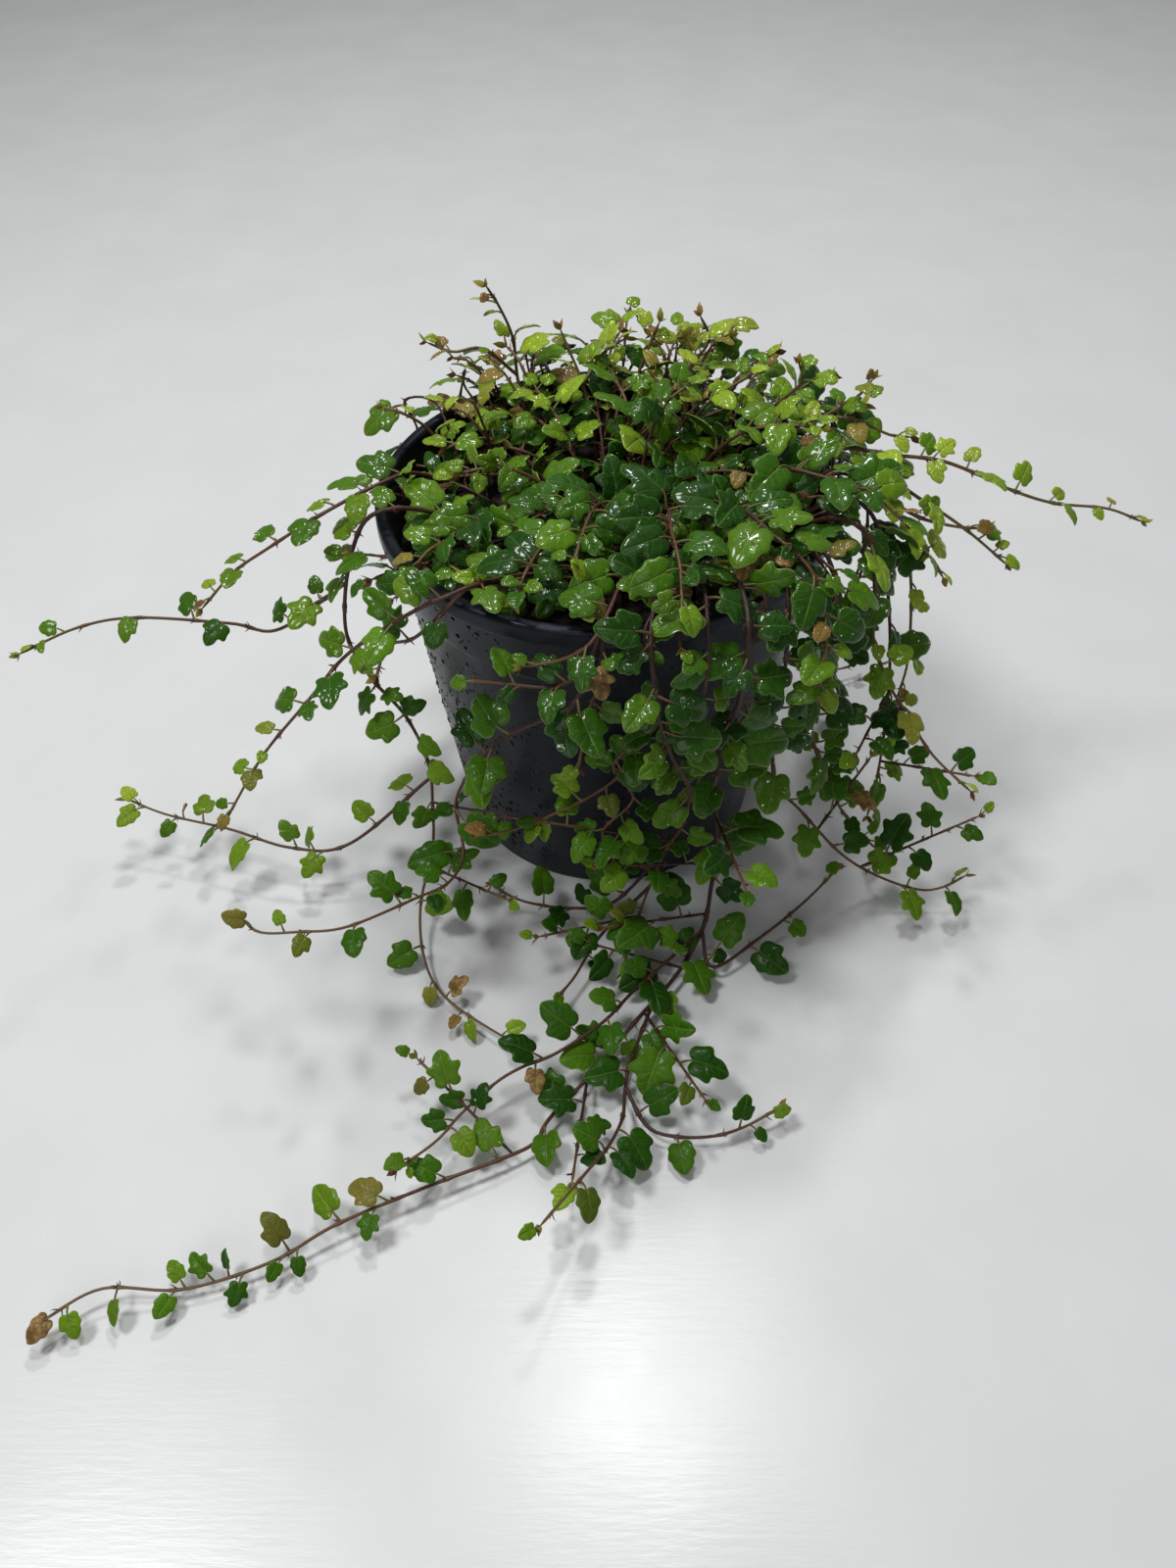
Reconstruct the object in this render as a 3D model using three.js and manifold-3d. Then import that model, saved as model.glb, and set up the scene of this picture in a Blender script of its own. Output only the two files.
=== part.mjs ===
// Potted oak leaf creeping fig.
// A round nursery pot, filled with soil, holds a climbing fig whose thin wiry stems arch over the
// rim, hang down the wall and creep out over the table. Lobed leaves stand in two ranks along them.
// Millimetres, +Z up. The origin is the centre of the pot's base, on the table.

import * as THREE from "three";
import { mergeVertices } from "three/addons/utils/BufferGeometryUtils.js";
import Module from "manifold-3d";

const wasm = await Module();
wasm.setup();

// Pot
const POT_HEIGHT = 145;
const RIM_RADIUS = 80;
const LIP_DEPTH = 7;
const LIP_WIDTH = 4.4;
const LIP_ROUND = 1.2;
const SHOULDER_DROP = 28;
const SHOULDER_STEP = 0.9;
const SHOULDER_SLIVER = 0.01;
const WALL = 1.6;
const BODY_TOP_RADIUS = 76.3;
const BASE_RADIUS = 60.2;
const FLOOR_THICKNESS = 1.6;
const FOOT_WIDTH = 4.5;
const FOOT_RECESS = 1.4;
const REST_DISC_RADIUS = 24;
const DRAIN_RADIUS = 5;
const DRAIN_CIRCLE = 41;
const DRAIN_COUNT = 6;
const DRAIN_SIDES = 6;
const DRILL_LENGTH = 20;
const ROUND_SIDES = 24;

// Soil
const SOIL_GAP = 0.3;
const SOIL_EDGE = 126;
const SOIL_DOME = 3;
const SOIL_RINGS = 2;
const SOIL_WAVE = 0.8;
const SOIL_WAVE_LENGTH = 10;
const ROOT_DEPTH = 10;
const ROOT_HOLE_RADIUS = 3.3;
const ROOT_HOLE_SIDES = 4;

// Stems
const STEM_SIDES = 3;
const STEM_RADIUS = 1.15;
const SHOOT_SHARE = 0.85;
const TIP_RADIUS = 0.6;
const INTERNODE = 18;
const CROWN_INTERNODE = 12;

// Leaves
const BLADE_THICKNESS = 0.6;
const TEST_THICKNESS = 1.3;
const TEST_SPREAD = 1.05;
const PETIOLE_SHARE = 0.24;
const PETIOLE_MIN = 2;
const PETIOLE_WIDTH = 1.2;
const PETIOLE_OUT = 0.75;
const PETIOLE_UP = 0.66;
const PETIOLE_ALONG = 0.5;
const PETIOLE_SINK = 0.15;
const TIP_LEAF_SHARE = 0.5;
const AGE_POWER = 4;
const SIZE_LEAST = 0.7;
const SIZE_SPREAD = 0.5;
const TABLE_CLEARANCE = 0.4;

// How a leaf is turned, in radians, and how that widens when the nearest place is taken
const TURN = 0.55;
const TURN_SPREAD = 0.8;
const TIP_TURN = 1.3;
const TILT = 0.05;
const TILT_SPREAD = 0.7;
const ROLL_SPREAD = 0.9;
const LIGHT_LEAN = 0.25;
const HANGING_LEAN = 0.9;
const SKY = new THREE.Vector3(0, 0, 1);
const SKY_LEAN = 0.3;
const WINDOW = new THREE.Vector3(0, -0.35, 1);
const FACING = 0.75;
const FLATTEN = 0.85;
const ATTEMPTS = 6;
const ATTEMPT_WIDER = 0.35;
const ATTEMPT_SMALLER = 0.06;
const SEED_STEP = 4096;
const SEED_RING = 16;
const STRANDS_MOST = 8;

// Blade curve, as shares of its length
const MIDRIB_RISE = 0.1;
const EDGE_CURL = 0.38;
const ENDS_CURL = 0.3;
const BLADE_MIDDLE = 0.4;

// Bare joints
const LEAFLESS_EVERY = 3;
const CROWN_FLOOR = POT_HEIGHT - 10;
const ROOT_BACK = 0.35;

// Half outlines of the leaf blade for a midrib of length 1, from the cordate base to the tip:
// [along the midrib, out from the midrib]. The tip itself is shared by both halves.
const LOBED_HALF = [[-0.08, 0.3], [0.18, 0.29], [0.41, 0.54], [0.55, 0.25]];
const SPADE_HALF = [[-0.07, 0.32], [0.32, 0.51], [0.52, 0.25]];
const PLAIN_HALF = [[-0.02, 0.32], [0.42, 0.42]];
const LEAF_FORMS = [
  [LOBED_HALF, LOBED_HALF],
  [SPADE_HALF, SPADE_HALF],
  [SPADE_HALF, PLAIN_HALF],
  [PLAIN_HALF, SPADE_HALF],
  [PLAIN_HALF, PLAIN_HALF],
];
const PLAIN_FORM = LEAF_FORMS.length - 1;

// Each stem: its name, the leaf length in its middle, the share of it that is bare at the root,
// the points that it passes through, and the shoots that leave it or an earlier shoot.
// A shoot leaves strand `of` (0 is the stem itself) at share `at` of that strand's length.
const STEMS = [
  {
    name: "stem_left_rim", leaf: 12.5, bare: 0.1,
    route: [[-46, -12], [-47, -13, 132], [-60, -19, 148], [-77, -25, 151], [-87, -23, 134],
      [-94, -20, 108], [-95, -19, 90], [-87, -26, 78], [-76, -31, 64], [-69, -38, 46],
      [-68, -48, 32], [-68, -60, 22], [-72, -80, 11], [-69, -101, 6], [-60, -117, 5],
      [-40, -133, 6], [-31, -139, 9]],
    shoots: [
      { of: 0, at: 0.31, leaf: 13,
        route: [[-121, -16, 95], [-138, -16, 98], [-169, -22, 106], [-186, -32, 110], [-199, -52, 115]] },
      { of: 0, at: 0.58, leaf: 12.5,
        route: [[-101, -56, 20], [-124, -57, 19], [-149, -49, 21], [-176, -41, 21], [-193, -35, 24]] },
    ],
  },
  {
    name: "stem_left_high", leaf: 11.5, bare: 0.12,
    route: [[-56, 16], [-57, 15, 134], [-66, 4, 148], [-76, -8, 152], [-95, -20, 148],
      [-115, -24, 137], [-129, -24, 127], [-142, -29, 115]],
    shoots: [],
  },
  {
    name: "stem_left_front", leaf: 11.5, bare: 0.12,
    route: [[-24, -42], [-25, -43, 132], [-36, -58, 148], [-48, -68, 151], [-64, -68, 142],
      [-86, -60, 120], [-101, -65, 104], [-120, -69, 82], [-136, -80, 60]],
    shoots: [
      { of: 0, at: 0.3, leaf: 10.5, route: [[-60, -67, 134], [-73, -53, 118], [-81, -46, 98]] },
    ],
  },
  {
    name: "stem_front_left", leaf: 12.5, bare: 0.15,
    route: [[6, -34], [6, -36, 134], [5, -60, 151], [1, -78, 153], [-5, -88, 148],
      [-14, -86, 140], [-27, -80, 132]],
    shoots: [
      { of: 0, at: 0.7, leaf: 13,
        route: [[-9, -90, 128], [-17, -85, 116], [-33, -78, 100], [-43, -74, 86], [-51, -71, 70],
          [-55, -70, 56], [-52, -84, 47], [-56, -98, 48], [-66, -108, 52], [-87, -123, 56],
          [-103, -125, 56], [-116, -125, 56], [-123, -120, 58]] },
      { of: 1, at: 0.1, leaf: 10,
        route: [[-17, -86, 129], [-28, -84, 128], [-38, -80, 126], [-46, -75, 122]] },
      { of: 0, at: 0.62, leaf: 13,
        route: [[-2, -88, 134], [-6, -86, 118], [-8, -83, 102], [-10, -78, 84]] },
    ],
  },
  {
    name: "stem_front_middle", leaf: 13, bare: 0.1,
    route: [[16, -50], [16, -52, 134], [15, -70, 151], [13, -88, 150], [15, -94, 128],
      [20, -93, 106], [27, -88, 84], [26, -84, 62], [21, -80, 44], [16, -83, 30],
      [12, -88, 19], [8, -96, 12], [5, -109, 8]],
    shoots: [
      { of: 0, at: 0.8, leaf: 11.5,
        route: [[2, -80, 13], [-14, -79, 8], [-28, -77, 8], [-37, -75, 10], [-45, -75, 18]] },
      { of: 0, at: 0.88, leaf: 11.5, route: [[0, -92, 14], [-7, -100, 10], [-13, -111, 8], [-21, -123, 9]] },
    ],
  },
  {
    name: "stem_front_thick", leaf: 14.5, bare: 0.08, radius: 1.5,
    route: [[38, -46], [38, -48, 134], [40, -66, 153], [42, -86, 151], [41, -88, 124],
      [38, -82, 104], [37, -80, 76], [39, -81, 45], [38, -83, 26], [36, -89, 12],
      [31, -98, 7], [23, -111, 6], [8, -130, 6], [-2, -144, 6], [-11, -155, 6],
      [-21, -167, 6], [-25, -175, 6], [-35, -181, 7], [-56, -190, 8], [-86, -204, 9],
      [-106, -215, 6], [-132, -223, 5], [-156, -224, 8], [-172, -234, 8]],
    shoots: [
      { of: 0, at: 0.455, leaf: 13, route: [[38, -106, 7], [57, -93, 8], [74, -80, 12], [88, -68, 18]] },
      { of: 0, at: 0.53, leaf: 12.5,
        route: [[7, -146, 7], [5, -157, 7], [4, -168, 9], [-1, -181, 14], [-7, -192, 21], [-21, -216, 34]] },
      { of: 2, at: 0.3, leaf: 10.5,
        route: [[12, -169, 6], [21, -173, 6], [34, -173, 6], [45, -170, 7], [57, -164, 9]] },
      { of: 0, at: 0.455, leaf: 12.5,
        route: [[10, -118, 12], [-2, -134, 15], [-18, -147, 16], [-30, -152, 15], [-39, -157, 13],
          [-50, -168, 12], [-57, -178, 13], [-68, -191, 19]] },
    ],
  },
  {
    name: "stem_front_sweep", leaf: 13, bare: 0.1,
    route: [[27, -40], [27, -42, 134], [29, -64, 154], [30, -84, 151], [30, -89, 132],
      [26, -87, 112], [18, -84, 98], [9, -80, 90], [1, -80, 79], [-8, -80, 71],
      [-18, -80, 64], [-28, -82, 60], [-38, -84, 58], [-46, -86, 59]],
    shoots: [],
  },
  {
    name: "stem_right_front", leaf: 14.5, bare: 0.1,
    route: [[46, -36], [47, -38, 134], [53, -60, 154], [55, -74, 150], [56, -76, 126],
      [55, -72, 100], [57, -69, 80], [60, -68, 64], [70, -67, 50], [87, -70, 29],
      [102, -73, 19], [118, -74, 12], [127, -74, 13], [136, -72, 18]],
    shoots: [],
  },
  {
    name: "stem_right_low", leaf: 14, bare: 0.1,
    route: [[56, -26], [57, -28, 134], [65, -46, 153], [71, -57, 149], [73, -60, 126],
      [70, -58, 100], [74, -55, 72], [84, -55, 46], [92, -56, 31], [104, -58, 17]],
    shoots: [],
  },
  {
    name: "stem_right_hanging", leaf: 14.5, bare: 0.08,
    route: [[63, -10], [64, -12, 134], [76, -19, 152], [88, -24, 148], [95, -26, 128],
      [101, -25, 102], [104, -29, 78], [104, -36, 60], [103, -43, 38], [102, -44, 20]],
    shoots: [],
  },
  {
    name: "stem_right_reach", leaf: 13, bare: 0.1,
    route: [[58, -17], [59, -19, 134], [72, -34, 154], [84, -41, 151], [89, -42, 130],
      [92, -41, 108], [99, -45, 92], [107, -51, 81], [116, -59, 70], [130, -68, 60]],
    shoots: [],
  },
  {
    name: "stem_right_far", leaf: 11.5, bare: 0.1,
    route: [[64, 2], [65, 2, 134], [78, -4, 153], [93, -10, 151], [103, -13, 134],
      [109, -12, 112], [112, -14, 92], [113, -17, 76], [111, -20, 60]],
    shoots: [
      { of: 0, at: 0.33, leaf: 11.5,
        route: [[94, -2, 150], [108, -4, 141], [119, -5, 134], [130, -6, 126], [145, -4, 112]] },
      { of: 0, at: 0.48, leaf: 11.5, route: [[110, -8, 135], [124, -6, 130], [134, -4, 128]] },
      { of: 0, at: 0.6, leaf: 10.5, route: [[114, -12, 122], [119, -17, 116]] },
    ],
  },
  {
    name: "stem_right_long", leaf: 10.5, bare: 0.1,
    route: [[57, 10], [58, 10, 134], [70, 9, 151], [83, 7, 154], [98, 4, 153],
      [115, 5, 150], [129, 4, 145], [142, 3, 139], [159, 5, 132], [181, 10, 126], [197, 13, 118]],
    shoots: [],
  },
  {
    name: "stem_right_high", leaf: 10.5, bare: 0.12,
    route: [[50, 17], [51, 17, 136], [65, 16, 156], [79, 15, 161], [89, 13, 160], [98, 12, 156],
      [107, 15, 153]],
    shoots: [
      { of: 0, at: 0.6, leaf: 9, route: [[86, 19, 166], [91, 18, 174]] },
    ],
  },
  {
    name: "stem_back_right_tuft", leaf: 11.5, bare: 0.2,
    route: [[46, 27], [47, 27, 138], [58, 28, 156], [68, 26, 168], [66, 24, 177]],
    shoots: [
      { of: 0, at: 0.62, leaf: 10.5, route: [[70, 34, 162], [80, 38, 164]] },
    ],
  },
  {
    name: "stem_back_lime", leaf: 13, bare: 0.2,
    route: [[-3, 42], [-4, 42, 138], [-8, 48, 156], [-13, 52, 168], [-16, 54, 175]],
    shoots: [
      { of: 0, at: 0.6, leaf: 12.5, route: [[0, 56, 165], [8, 60, 168]] },
    ],
  },
  {
    name: "stem_back_upright", leaf: 10.5, bare: 0.25,
    route: [[-30, 54], [-30, 55, 138], [-33, 62, 152], [-34, 65, 166], [-38, 63, 179], [-42, 59, 189]],
    shoots: [
      { of: 0, at: 0.62, leaf: 11.5, route: [[-45, 61, 164], [-56, 59, 164], [-66, 61, 167]] },
    ],
  },
  {
    name: "stem_back_left", leaf: 11.5, bare: 0.2,
    route: [[-40, 43], [-40, 44, 134], [-43, 54, 146], [-49, 56, 153], [-56, 57, 156]],
    shoots: [],
  },
  {
    name: "stem_left_upper", leaf: 10.5, bare: 0.2,
    route: [[-56, 33], [-57, 33, 132], [-64, 33, 147], [-72, 31, 155], [-80, 31, 158]],
    shoots: [],
  },
  {
    name: "stem_back_middle", leaf: 11.5, bare: 0.2,
    route: [[12, 47], [12, 48, 138], [12, 55, 154], [17, 57, 168], [20, 57, 176]],
    shoots: [],
  },
  {
    name: "stem_back_brown", leaf: 11.5, bare: 0.2,
    route: [[29, 44], [29, 46, 138], [31, 56, 156], [38, 57, 168], [34, 55, 179]],
    shoots: [],
  },
  {
    name: "stem_back_right", leaf: 11.5, bare: 0.2,
    route: [[40, 36], [41, 37, 138], [46, 44, 156], [53, 47, 164], [62, 48, 168]],
    shoots: [],
  },
  {
    name: "stem_crown_left_front", leaf: 15, bare: 0.25, internode: CROWN_INTERNODE,
    route: [[-30, -6], [-31, -8, 136], [-42, -22, 146], [-50, -36, 149], [-56, -46, 152], [-62, -52, 148]],
    shoots: [],
  },
  {
    name: "stem_crown_left_back", leaf: 15, bare: 0.25, internode: CROWN_INTERNODE,
    route: [[-22, 14], [-23, 15, 138], [-36, 22, 148], [-48, 24, 149], [-58, 22, 146]],
    shoots: [],
  },
  {
    name: "stem_crown_front_left", leaf: 15, bare: 0.25, internode: CROWN_INTERNODE,
    route: [[-9, -20], [-10, -22, 138], [-18, -40, 151], [-24, -58, 154], [-28, -72, 152]],
    shoots: [],
  },
  {
    name: "stem_crown_front", leaf: 15, bare: 0.25, internode: CROWN_INTERNODE,
    route: [[2, -8], [2, -10, 140], [-3, -30, 157], [-7, -48, 160], [-10, -66, 160]],
    shoots: [],
  },
  {
    name: "stem_crown_front_right", leaf: 15, bare: 0.25, internode: CROWN_INTERNODE,
    route: [[19, -14], [19, -16, 140], [20, -34, 158], [20, -52, 163], [22, -70, 162], [22, -86, 158]],
    shoots: [],
  },
  {
    name: "stem_crown_right_front", leaf: 15, bare: 0.25, internode: CROWN_INTERNODE,
    route: [[34, -20], [34, -22, 140], [42, -38, 160], [50, -54, 163], [62, -68, 158], [67, -78, 142],
      [66, -82, 122]],
    shoots: [],
  },
  {
    name: "stem_crown_right", leaf: 15, bare: 0.25, internode: CROWN_INTERNODE,
    route: [[42, -6], [43, -7, 140], [56, -16, 160], [70, -26, 164], [84, -32, 162], [96, -38, 154]],
    shoots: [],
  },
  {
    name: "stem_crown_right_back", leaf: 15, bare: 0.25, internode: CROWN_INTERNODE,
    route: [[32, 8], [32, 8, 142], [44, 5, 160], [58, 2, 166], [72, -3, 168]],
    shoots: [],
  },
  {
    name: "stem_crown_back_right", leaf: 15, bare: 0.25, internode: CROWN_INTERNODE,
    route: [[25, 26], [26, 27, 140], [34, 32, 154], [44, 34, 162], [54, 38, 166]],
    shoots: [],
  },
  {
    name: "stem_crown_back", leaf: 15, bare: 0.25, internode: CROWN_INTERNODE,
    route: [[9, 20], [9, 21, 142], [8, 32, 156], [4, 44, 160], [2, 54, 160]],
    shoots: [],
  },
  {
    name: "stem_crown_back_left", leaf: 15, bare: 0.25, internode: CROWN_INTERNODE,
    route: [[-10, 24], [-11, 25, 140], [-16, 32, 150], [-22, 40, 154], [-26, 50, 155]],
    shoots: [],
  },
  {
    name: "stem_crown_left", leaf: 15, bare: 0.25, internode: CROWN_INTERNODE,
    route: [[-15, -2], [-16, -2, 138], [-26, -2, 150], [-38, -3, 154], [-50, -4, 153]],
    shoots: [],
  },
  {
    name: "stem_crown_middle", leaf: 15, bare: 0.25, internode: CROWN_INTERNODE,
    route: [[12, 4], [12, 5, 142], [16, 10, 160], [22, 16, 168], [30, 20, 172]],
    shoots: [],
  },
  {
    name: "stem_hanging_right", leaf: 13, bare: 0.08,
    route: [[54, 29], [55, 30, 136], [69, 37, 152], [82, 42, 148], [87, 44, 124],
      [87, 44, 96], [85, 44, 70], [87, 46, 44], [93, 50, 22], [103, 56, 9], [116, 62, 7]],
    shoots: [],
  },
  {
    name: "stem_hanging_back_right", leaf: 13, bare: 0.08,
    route: [[40, 48], [41, 49, 136], [50, 59, 151], [59, 69, 148], [62, 73, 122],
      [61, 72, 92], [59, 72, 62], [63, 78, 34], [73, 90, 13], [86, 102, 7]],
    shoots: [],
  },
  {
    name: "stem_hanging_back_left", leaf: 12.5, bare: 0.08,
    route: [[-16, 60], [-16, 61, 136], [-23, 74, 151], [-28, 87, 147], [-30, 92, 122],
      [-29, 90, 96], [-27, 86, 66], [-30, 90, 38], [-36, 96, 18]],
    shoots: [],
  },
];

// Materials
const POT_PLASTIC = new THREE.MeshStandardMaterial({ color: 0x1b1c21, roughness: 0.38, metalness: 0 });
const SOIL_FILL = new THREE.MeshStandardMaterial({ color: 0x2c211a, roughness: 0.95, metalness: 0 });
const LEAF_GREENS = [0x2f5f22, 0x3c7426, 0x4c8a2a, 0x6da336, 0x27502a];

function leafMaterial(index) {
  const color = LEAF_GREENS[index % LEAF_GREENS.length];
  return new THREE.MeshStandardMaterial({ color, roughness: 0.45, metalness: 0 });
}

// Closed geometry to solid and back

function toSolid(geometry) {
  const bare = geometry.clone();
  for (const name of Object.keys(bare.attributes)) {
    if (name !== "position") bare.deleteAttribute(name);
  }
  const merged = mergeVertices(bare, 1e-4);
  const index = merged.index.array;
  const faces = [];
  for (let i = 0; i < index.length; i += 3) {
    const [a, b, c] = [index[i], index[i + 1], index[i + 2]];
    if (a !== b && b !== c && c !== a) faces.push(a, b, c);
  }
  return new wasm.Manifold(new wasm.Mesh({
    numProp: 3,
    vertProperties: new Float32Array(merged.attributes.position.array),
    triVerts: new Uint32Array(faces),
  }));
}

function toMesh(name, solid, material) {
  const { vertProperties, triVerts } = solid.getMesh();
  const geometry = new THREE.BufferGeometry();
  geometry.setAttribute("position", new THREE.BufferAttribute(new Float32Array(vertProperties), 3));
  geometry.setIndex(new THREE.BufferAttribute(new Uint32Array(triVerts), 1));
  geometry.computeVertexNormals();
  const mesh = new THREE.Mesh(geometry, material);
  mesh.name = name;
  return mesh;
}

// Pot

function turned(profile) {
  const points = profile.map(([radius, height]) => new THREE.Vector2(radius, height));
  const geometry = new THREE.LatheGeometry(points, ROUND_SIDES);
  geometry.rotateX(Math.PI / 2);
  return toSolid(geometry);
}

function innerRadius(height) {
  const shoulder = POT_HEIGHT - SHOULDER_DROP;
  const share = height / (POT_HEIGHT - LIP_DEPTH);
  const step = height < shoulder ? SHOULDER_STEP : 0;
  return BASE_RADIUS + (BODY_TOP_RADIUS - BASE_RADIUS) * share - step - WALL;
}

function potSolid() {
  const lipUnder = POT_HEIGHT - LIP_DEPTH;
  const shoulder = POT_HEIGHT - SHOULDER_DROP;
  const justUnder = shoulder - SHOULDER_SLIVER;
  const floorTop = FOOT_RECESS + FLOOR_THICKNESS;
  const shoulderRadius = innerRadius(justUnder) + WALL;
  const recessEdge = BASE_RADIUS - FOOT_WIDTH;
  const pot = turned([
    [0, 0],
    [REST_DISC_RADIUS, 0],
    [REST_DISC_RADIUS + FOOT_RECESS, FOOT_RECESS],
    [recessEdge - FOOT_RECESS, FOOT_RECESS],
    [recessEdge, 0],
    [BASE_RADIUS - SHOULDER_STEP, 0],
    [shoulderRadius, shoulder],
    [shoulderRadius + SHOULDER_STEP, shoulder + SHOULDER_STEP],
    [BODY_TOP_RADIUS, lipUnder],
    [RIM_RADIUS - LIP_ROUND, lipUnder],
    [RIM_RADIUS, lipUnder + LIP_ROUND],
    [RIM_RADIUS, POT_HEIGHT - LIP_ROUND],
    [RIM_RADIUS - LIP_ROUND, POT_HEIGHT],
    [RIM_RADIUS - LIP_WIDTH + LIP_ROUND, POT_HEIGHT],
    [RIM_RADIUS - LIP_WIDTH, POT_HEIGHT - LIP_ROUND],
    [innerRadius(shoulder + SHOULDER_STEP), shoulder + SHOULDER_STEP],
    [innerRadius(justUnder), justUnder],
    [innerRadius(floorTop), floorTop],
    [0, floorTop],
  ]);
  let drilled = pot;
  for (let i = 0; i < DRAIN_COUNT; i += 1) {
    const angle = (2 * Math.PI * (i + 0.5)) / DRAIN_COUNT;
    const drill = new THREE.CylinderGeometry(DRAIN_RADIUS, DRAIN_RADIUS, DRILL_LENGTH, DRAIN_SIDES);
    drill.rotateX(Math.PI / 2);
    drill.translate(DRAIN_CIRCLE * Math.cos(angle), DRAIN_CIRCLE * Math.sin(angle), 0);
    drilled = drilled.subtract(toSolid(drill));
  }
  return drilled;
}

// Soil

function soilHeight(x, y) {
  const share = Math.hypot(x, y) / innerRadius(SOIL_EDGE);
  const wave = Math.sin(x / SOIL_WAVE_LENGTH) * Math.cos(y / SOIL_WAVE_LENGTH) * SOIL_WAVE;
  return SOIL_EDGE + SOIL_DOME * (1 - share * share) + wave * (1 - share);
}

function soilSolid(roots) {
  const shoulder = POT_HEIGHT - SHOULDER_DROP;
  const bottom = FOOT_RECESS + FLOOR_THICKNESS + SOIL_GAP;
  const edge = innerRadius(SOIL_EDGE) - SOIL_GAP;
  const profile = [
    [0, bottom],
    [innerRadius(bottom) - SOIL_GAP, bottom],
    [innerRadius(shoulder - SHOULDER_SLIVER) - SOIL_GAP, shoulder + SOIL_GAP],
    [innerRadius(shoulder + SHOULDER_STEP) - SOIL_GAP, shoulder + SHOULDER_STEP + SOIL_GAP],
    [edge, SOIL_EDGE],
  ];
  for (let i = SOIL_RINGS - 1; i >= 0; i -= 1) profile.push([(edge * i) / SOIL_RINGS, SOIL_EDGE]);
  const points = profile.map(([radius, height]) => new THREE.Vector2(radius, height));
  const geometry = new THREE.LatheGeometry(points, ROUND_SIDES);
  geometry.rotateX(Math.PI / 2);
  const position = geometry.attributes.position;
  for (let i = 0; i < position.count; i += 1) {
    const [x, y, z] = [position.getX(i), position.getY(i), position.getZ(i)];
    const isInside = Math.hypot(x, y) < (edge * (SOIL_RINGS - 0.5)) / SOIL_RINGS;
    if (isInside && z > SOIL_EDGE - SOIL_GAP) position.setZ(i, soilHeight(x, y));
  }
  let soil = toSolid(geometry);
  for (const [x, y] of roots) {
    const depth = 2 * (ROOT_DEPTH + SOIL_GAP);
    const drill = new THREE.CylinderGeometry(ROOT_HOLE_RADIUS, ROOT_HOLE_RADIUS, depth, ROOT_HOLE_SIDES);
    drill.rotateX(Math.PI / 2);
    drill.translate(x, y, SOIL_EDGE);
    soil = soil.subtract(toSolid(drill));
  }
  return soil;
}

// Seeded draws: the same number always gives the same leaf

function draws(seed) {
  let state = seed | 0;
  return () => {
    state = (state + 0x6d2b79f5) | 0;
    let t = Math.imul(state ^ (state >>> 15), 1 | state);
    t = (t + Math.imul(t ^ (t >>> 7), 61 | t)) ^ t;
    return ((t ^ (t >>> 14)) >>> 0) / 4294967296;
  };
}

// Stems

function strandOf(points, size, radius, bareShare, internode) {
  const curve = new THREE.CatmullRomCurve3(points, false, "catmullrom", 0.5);
  const steps = Math.max(2, Math.round(curve.getLength() / internode));
  const rings = curve.getSpacedPoints(steps);
  const bare = Math.max(1, Math.round(steps * bareShare));
  return { curve, steps, rings, size, radius, bare };
}

function strandsOf(stem) {
  const root = [stem.route[0][0], stem.route[0][1], SOIL_EDGE - ROOT_DEPTH];
  const main = [root, ...stem.route.slice(1)].map((p) => new THREE.Vector3(...p));
  const radius = stem.radius ?? STEM_RADIUS;
  const internode = stem.internode ?? INTERNODE;
  const strands = [strandOf(main, stem.leaf, radius, stem.bare, internode)];
  for (const shoot of stem.shoots) {
    const parent = strands[shoot.of];
    const start = parent.rings[Math.round(shoot.at * parent.steps)];
    const points = [start, ...shoot.route.map((p) => new THREE.Vector3(...p))];
    strands.push(strandOf(points, shoot.leaf, STEM_RADIUS * SHOOT_SHARE, 0, internode));
  }
  return strands;
}

function tube(strand) {
  const section = new THREE.Shape();
  for (let i = 0; i < STEM_SIDES; i += 1) {
    const angle = (2 * Math.PI * i) / STEM_SIDES;
    const x = strand.radius * Math.cos(angle);
    const y = strand.radius * Math.sin(angle);
    if (i === 0) section.moveTo(x, y);
    else section.lineTo(x, y);
  }
  const geometry = new THREE.ExtrudeGeometry(section, {
    extrudePath: strand.curve, steps: strand.steps, bevelEnabled: false,
  });
  const position = geometry.attributes.position;
  const point = new THREE.Vector3();
  for (let i = 0; i < position.count; i += 1) {
    point.fromBufferAttribute(position, i);
    let nearest = 0;
    for (let ring = 1; ring <= strand.steps; ring += 1) {
      const closer = point.distanceTo(strand.rings[ring]) < point.distanceTo(strand.rings[nearest]);
      if (closer) nearest = ring;
    }
    const taper = THREE.MathUtils.lerp(1, TIP_RADIUS / strand.radius, nearest / strand.steps);
    point.sub(strand.rings[nearest]).multiplyScalar(taper).add(strand.rings[nearest]);
    position.setXYZ(i, point.x, point.y, point.z);
  }
  return toSolid(geometry);
}

// Leaves

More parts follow.
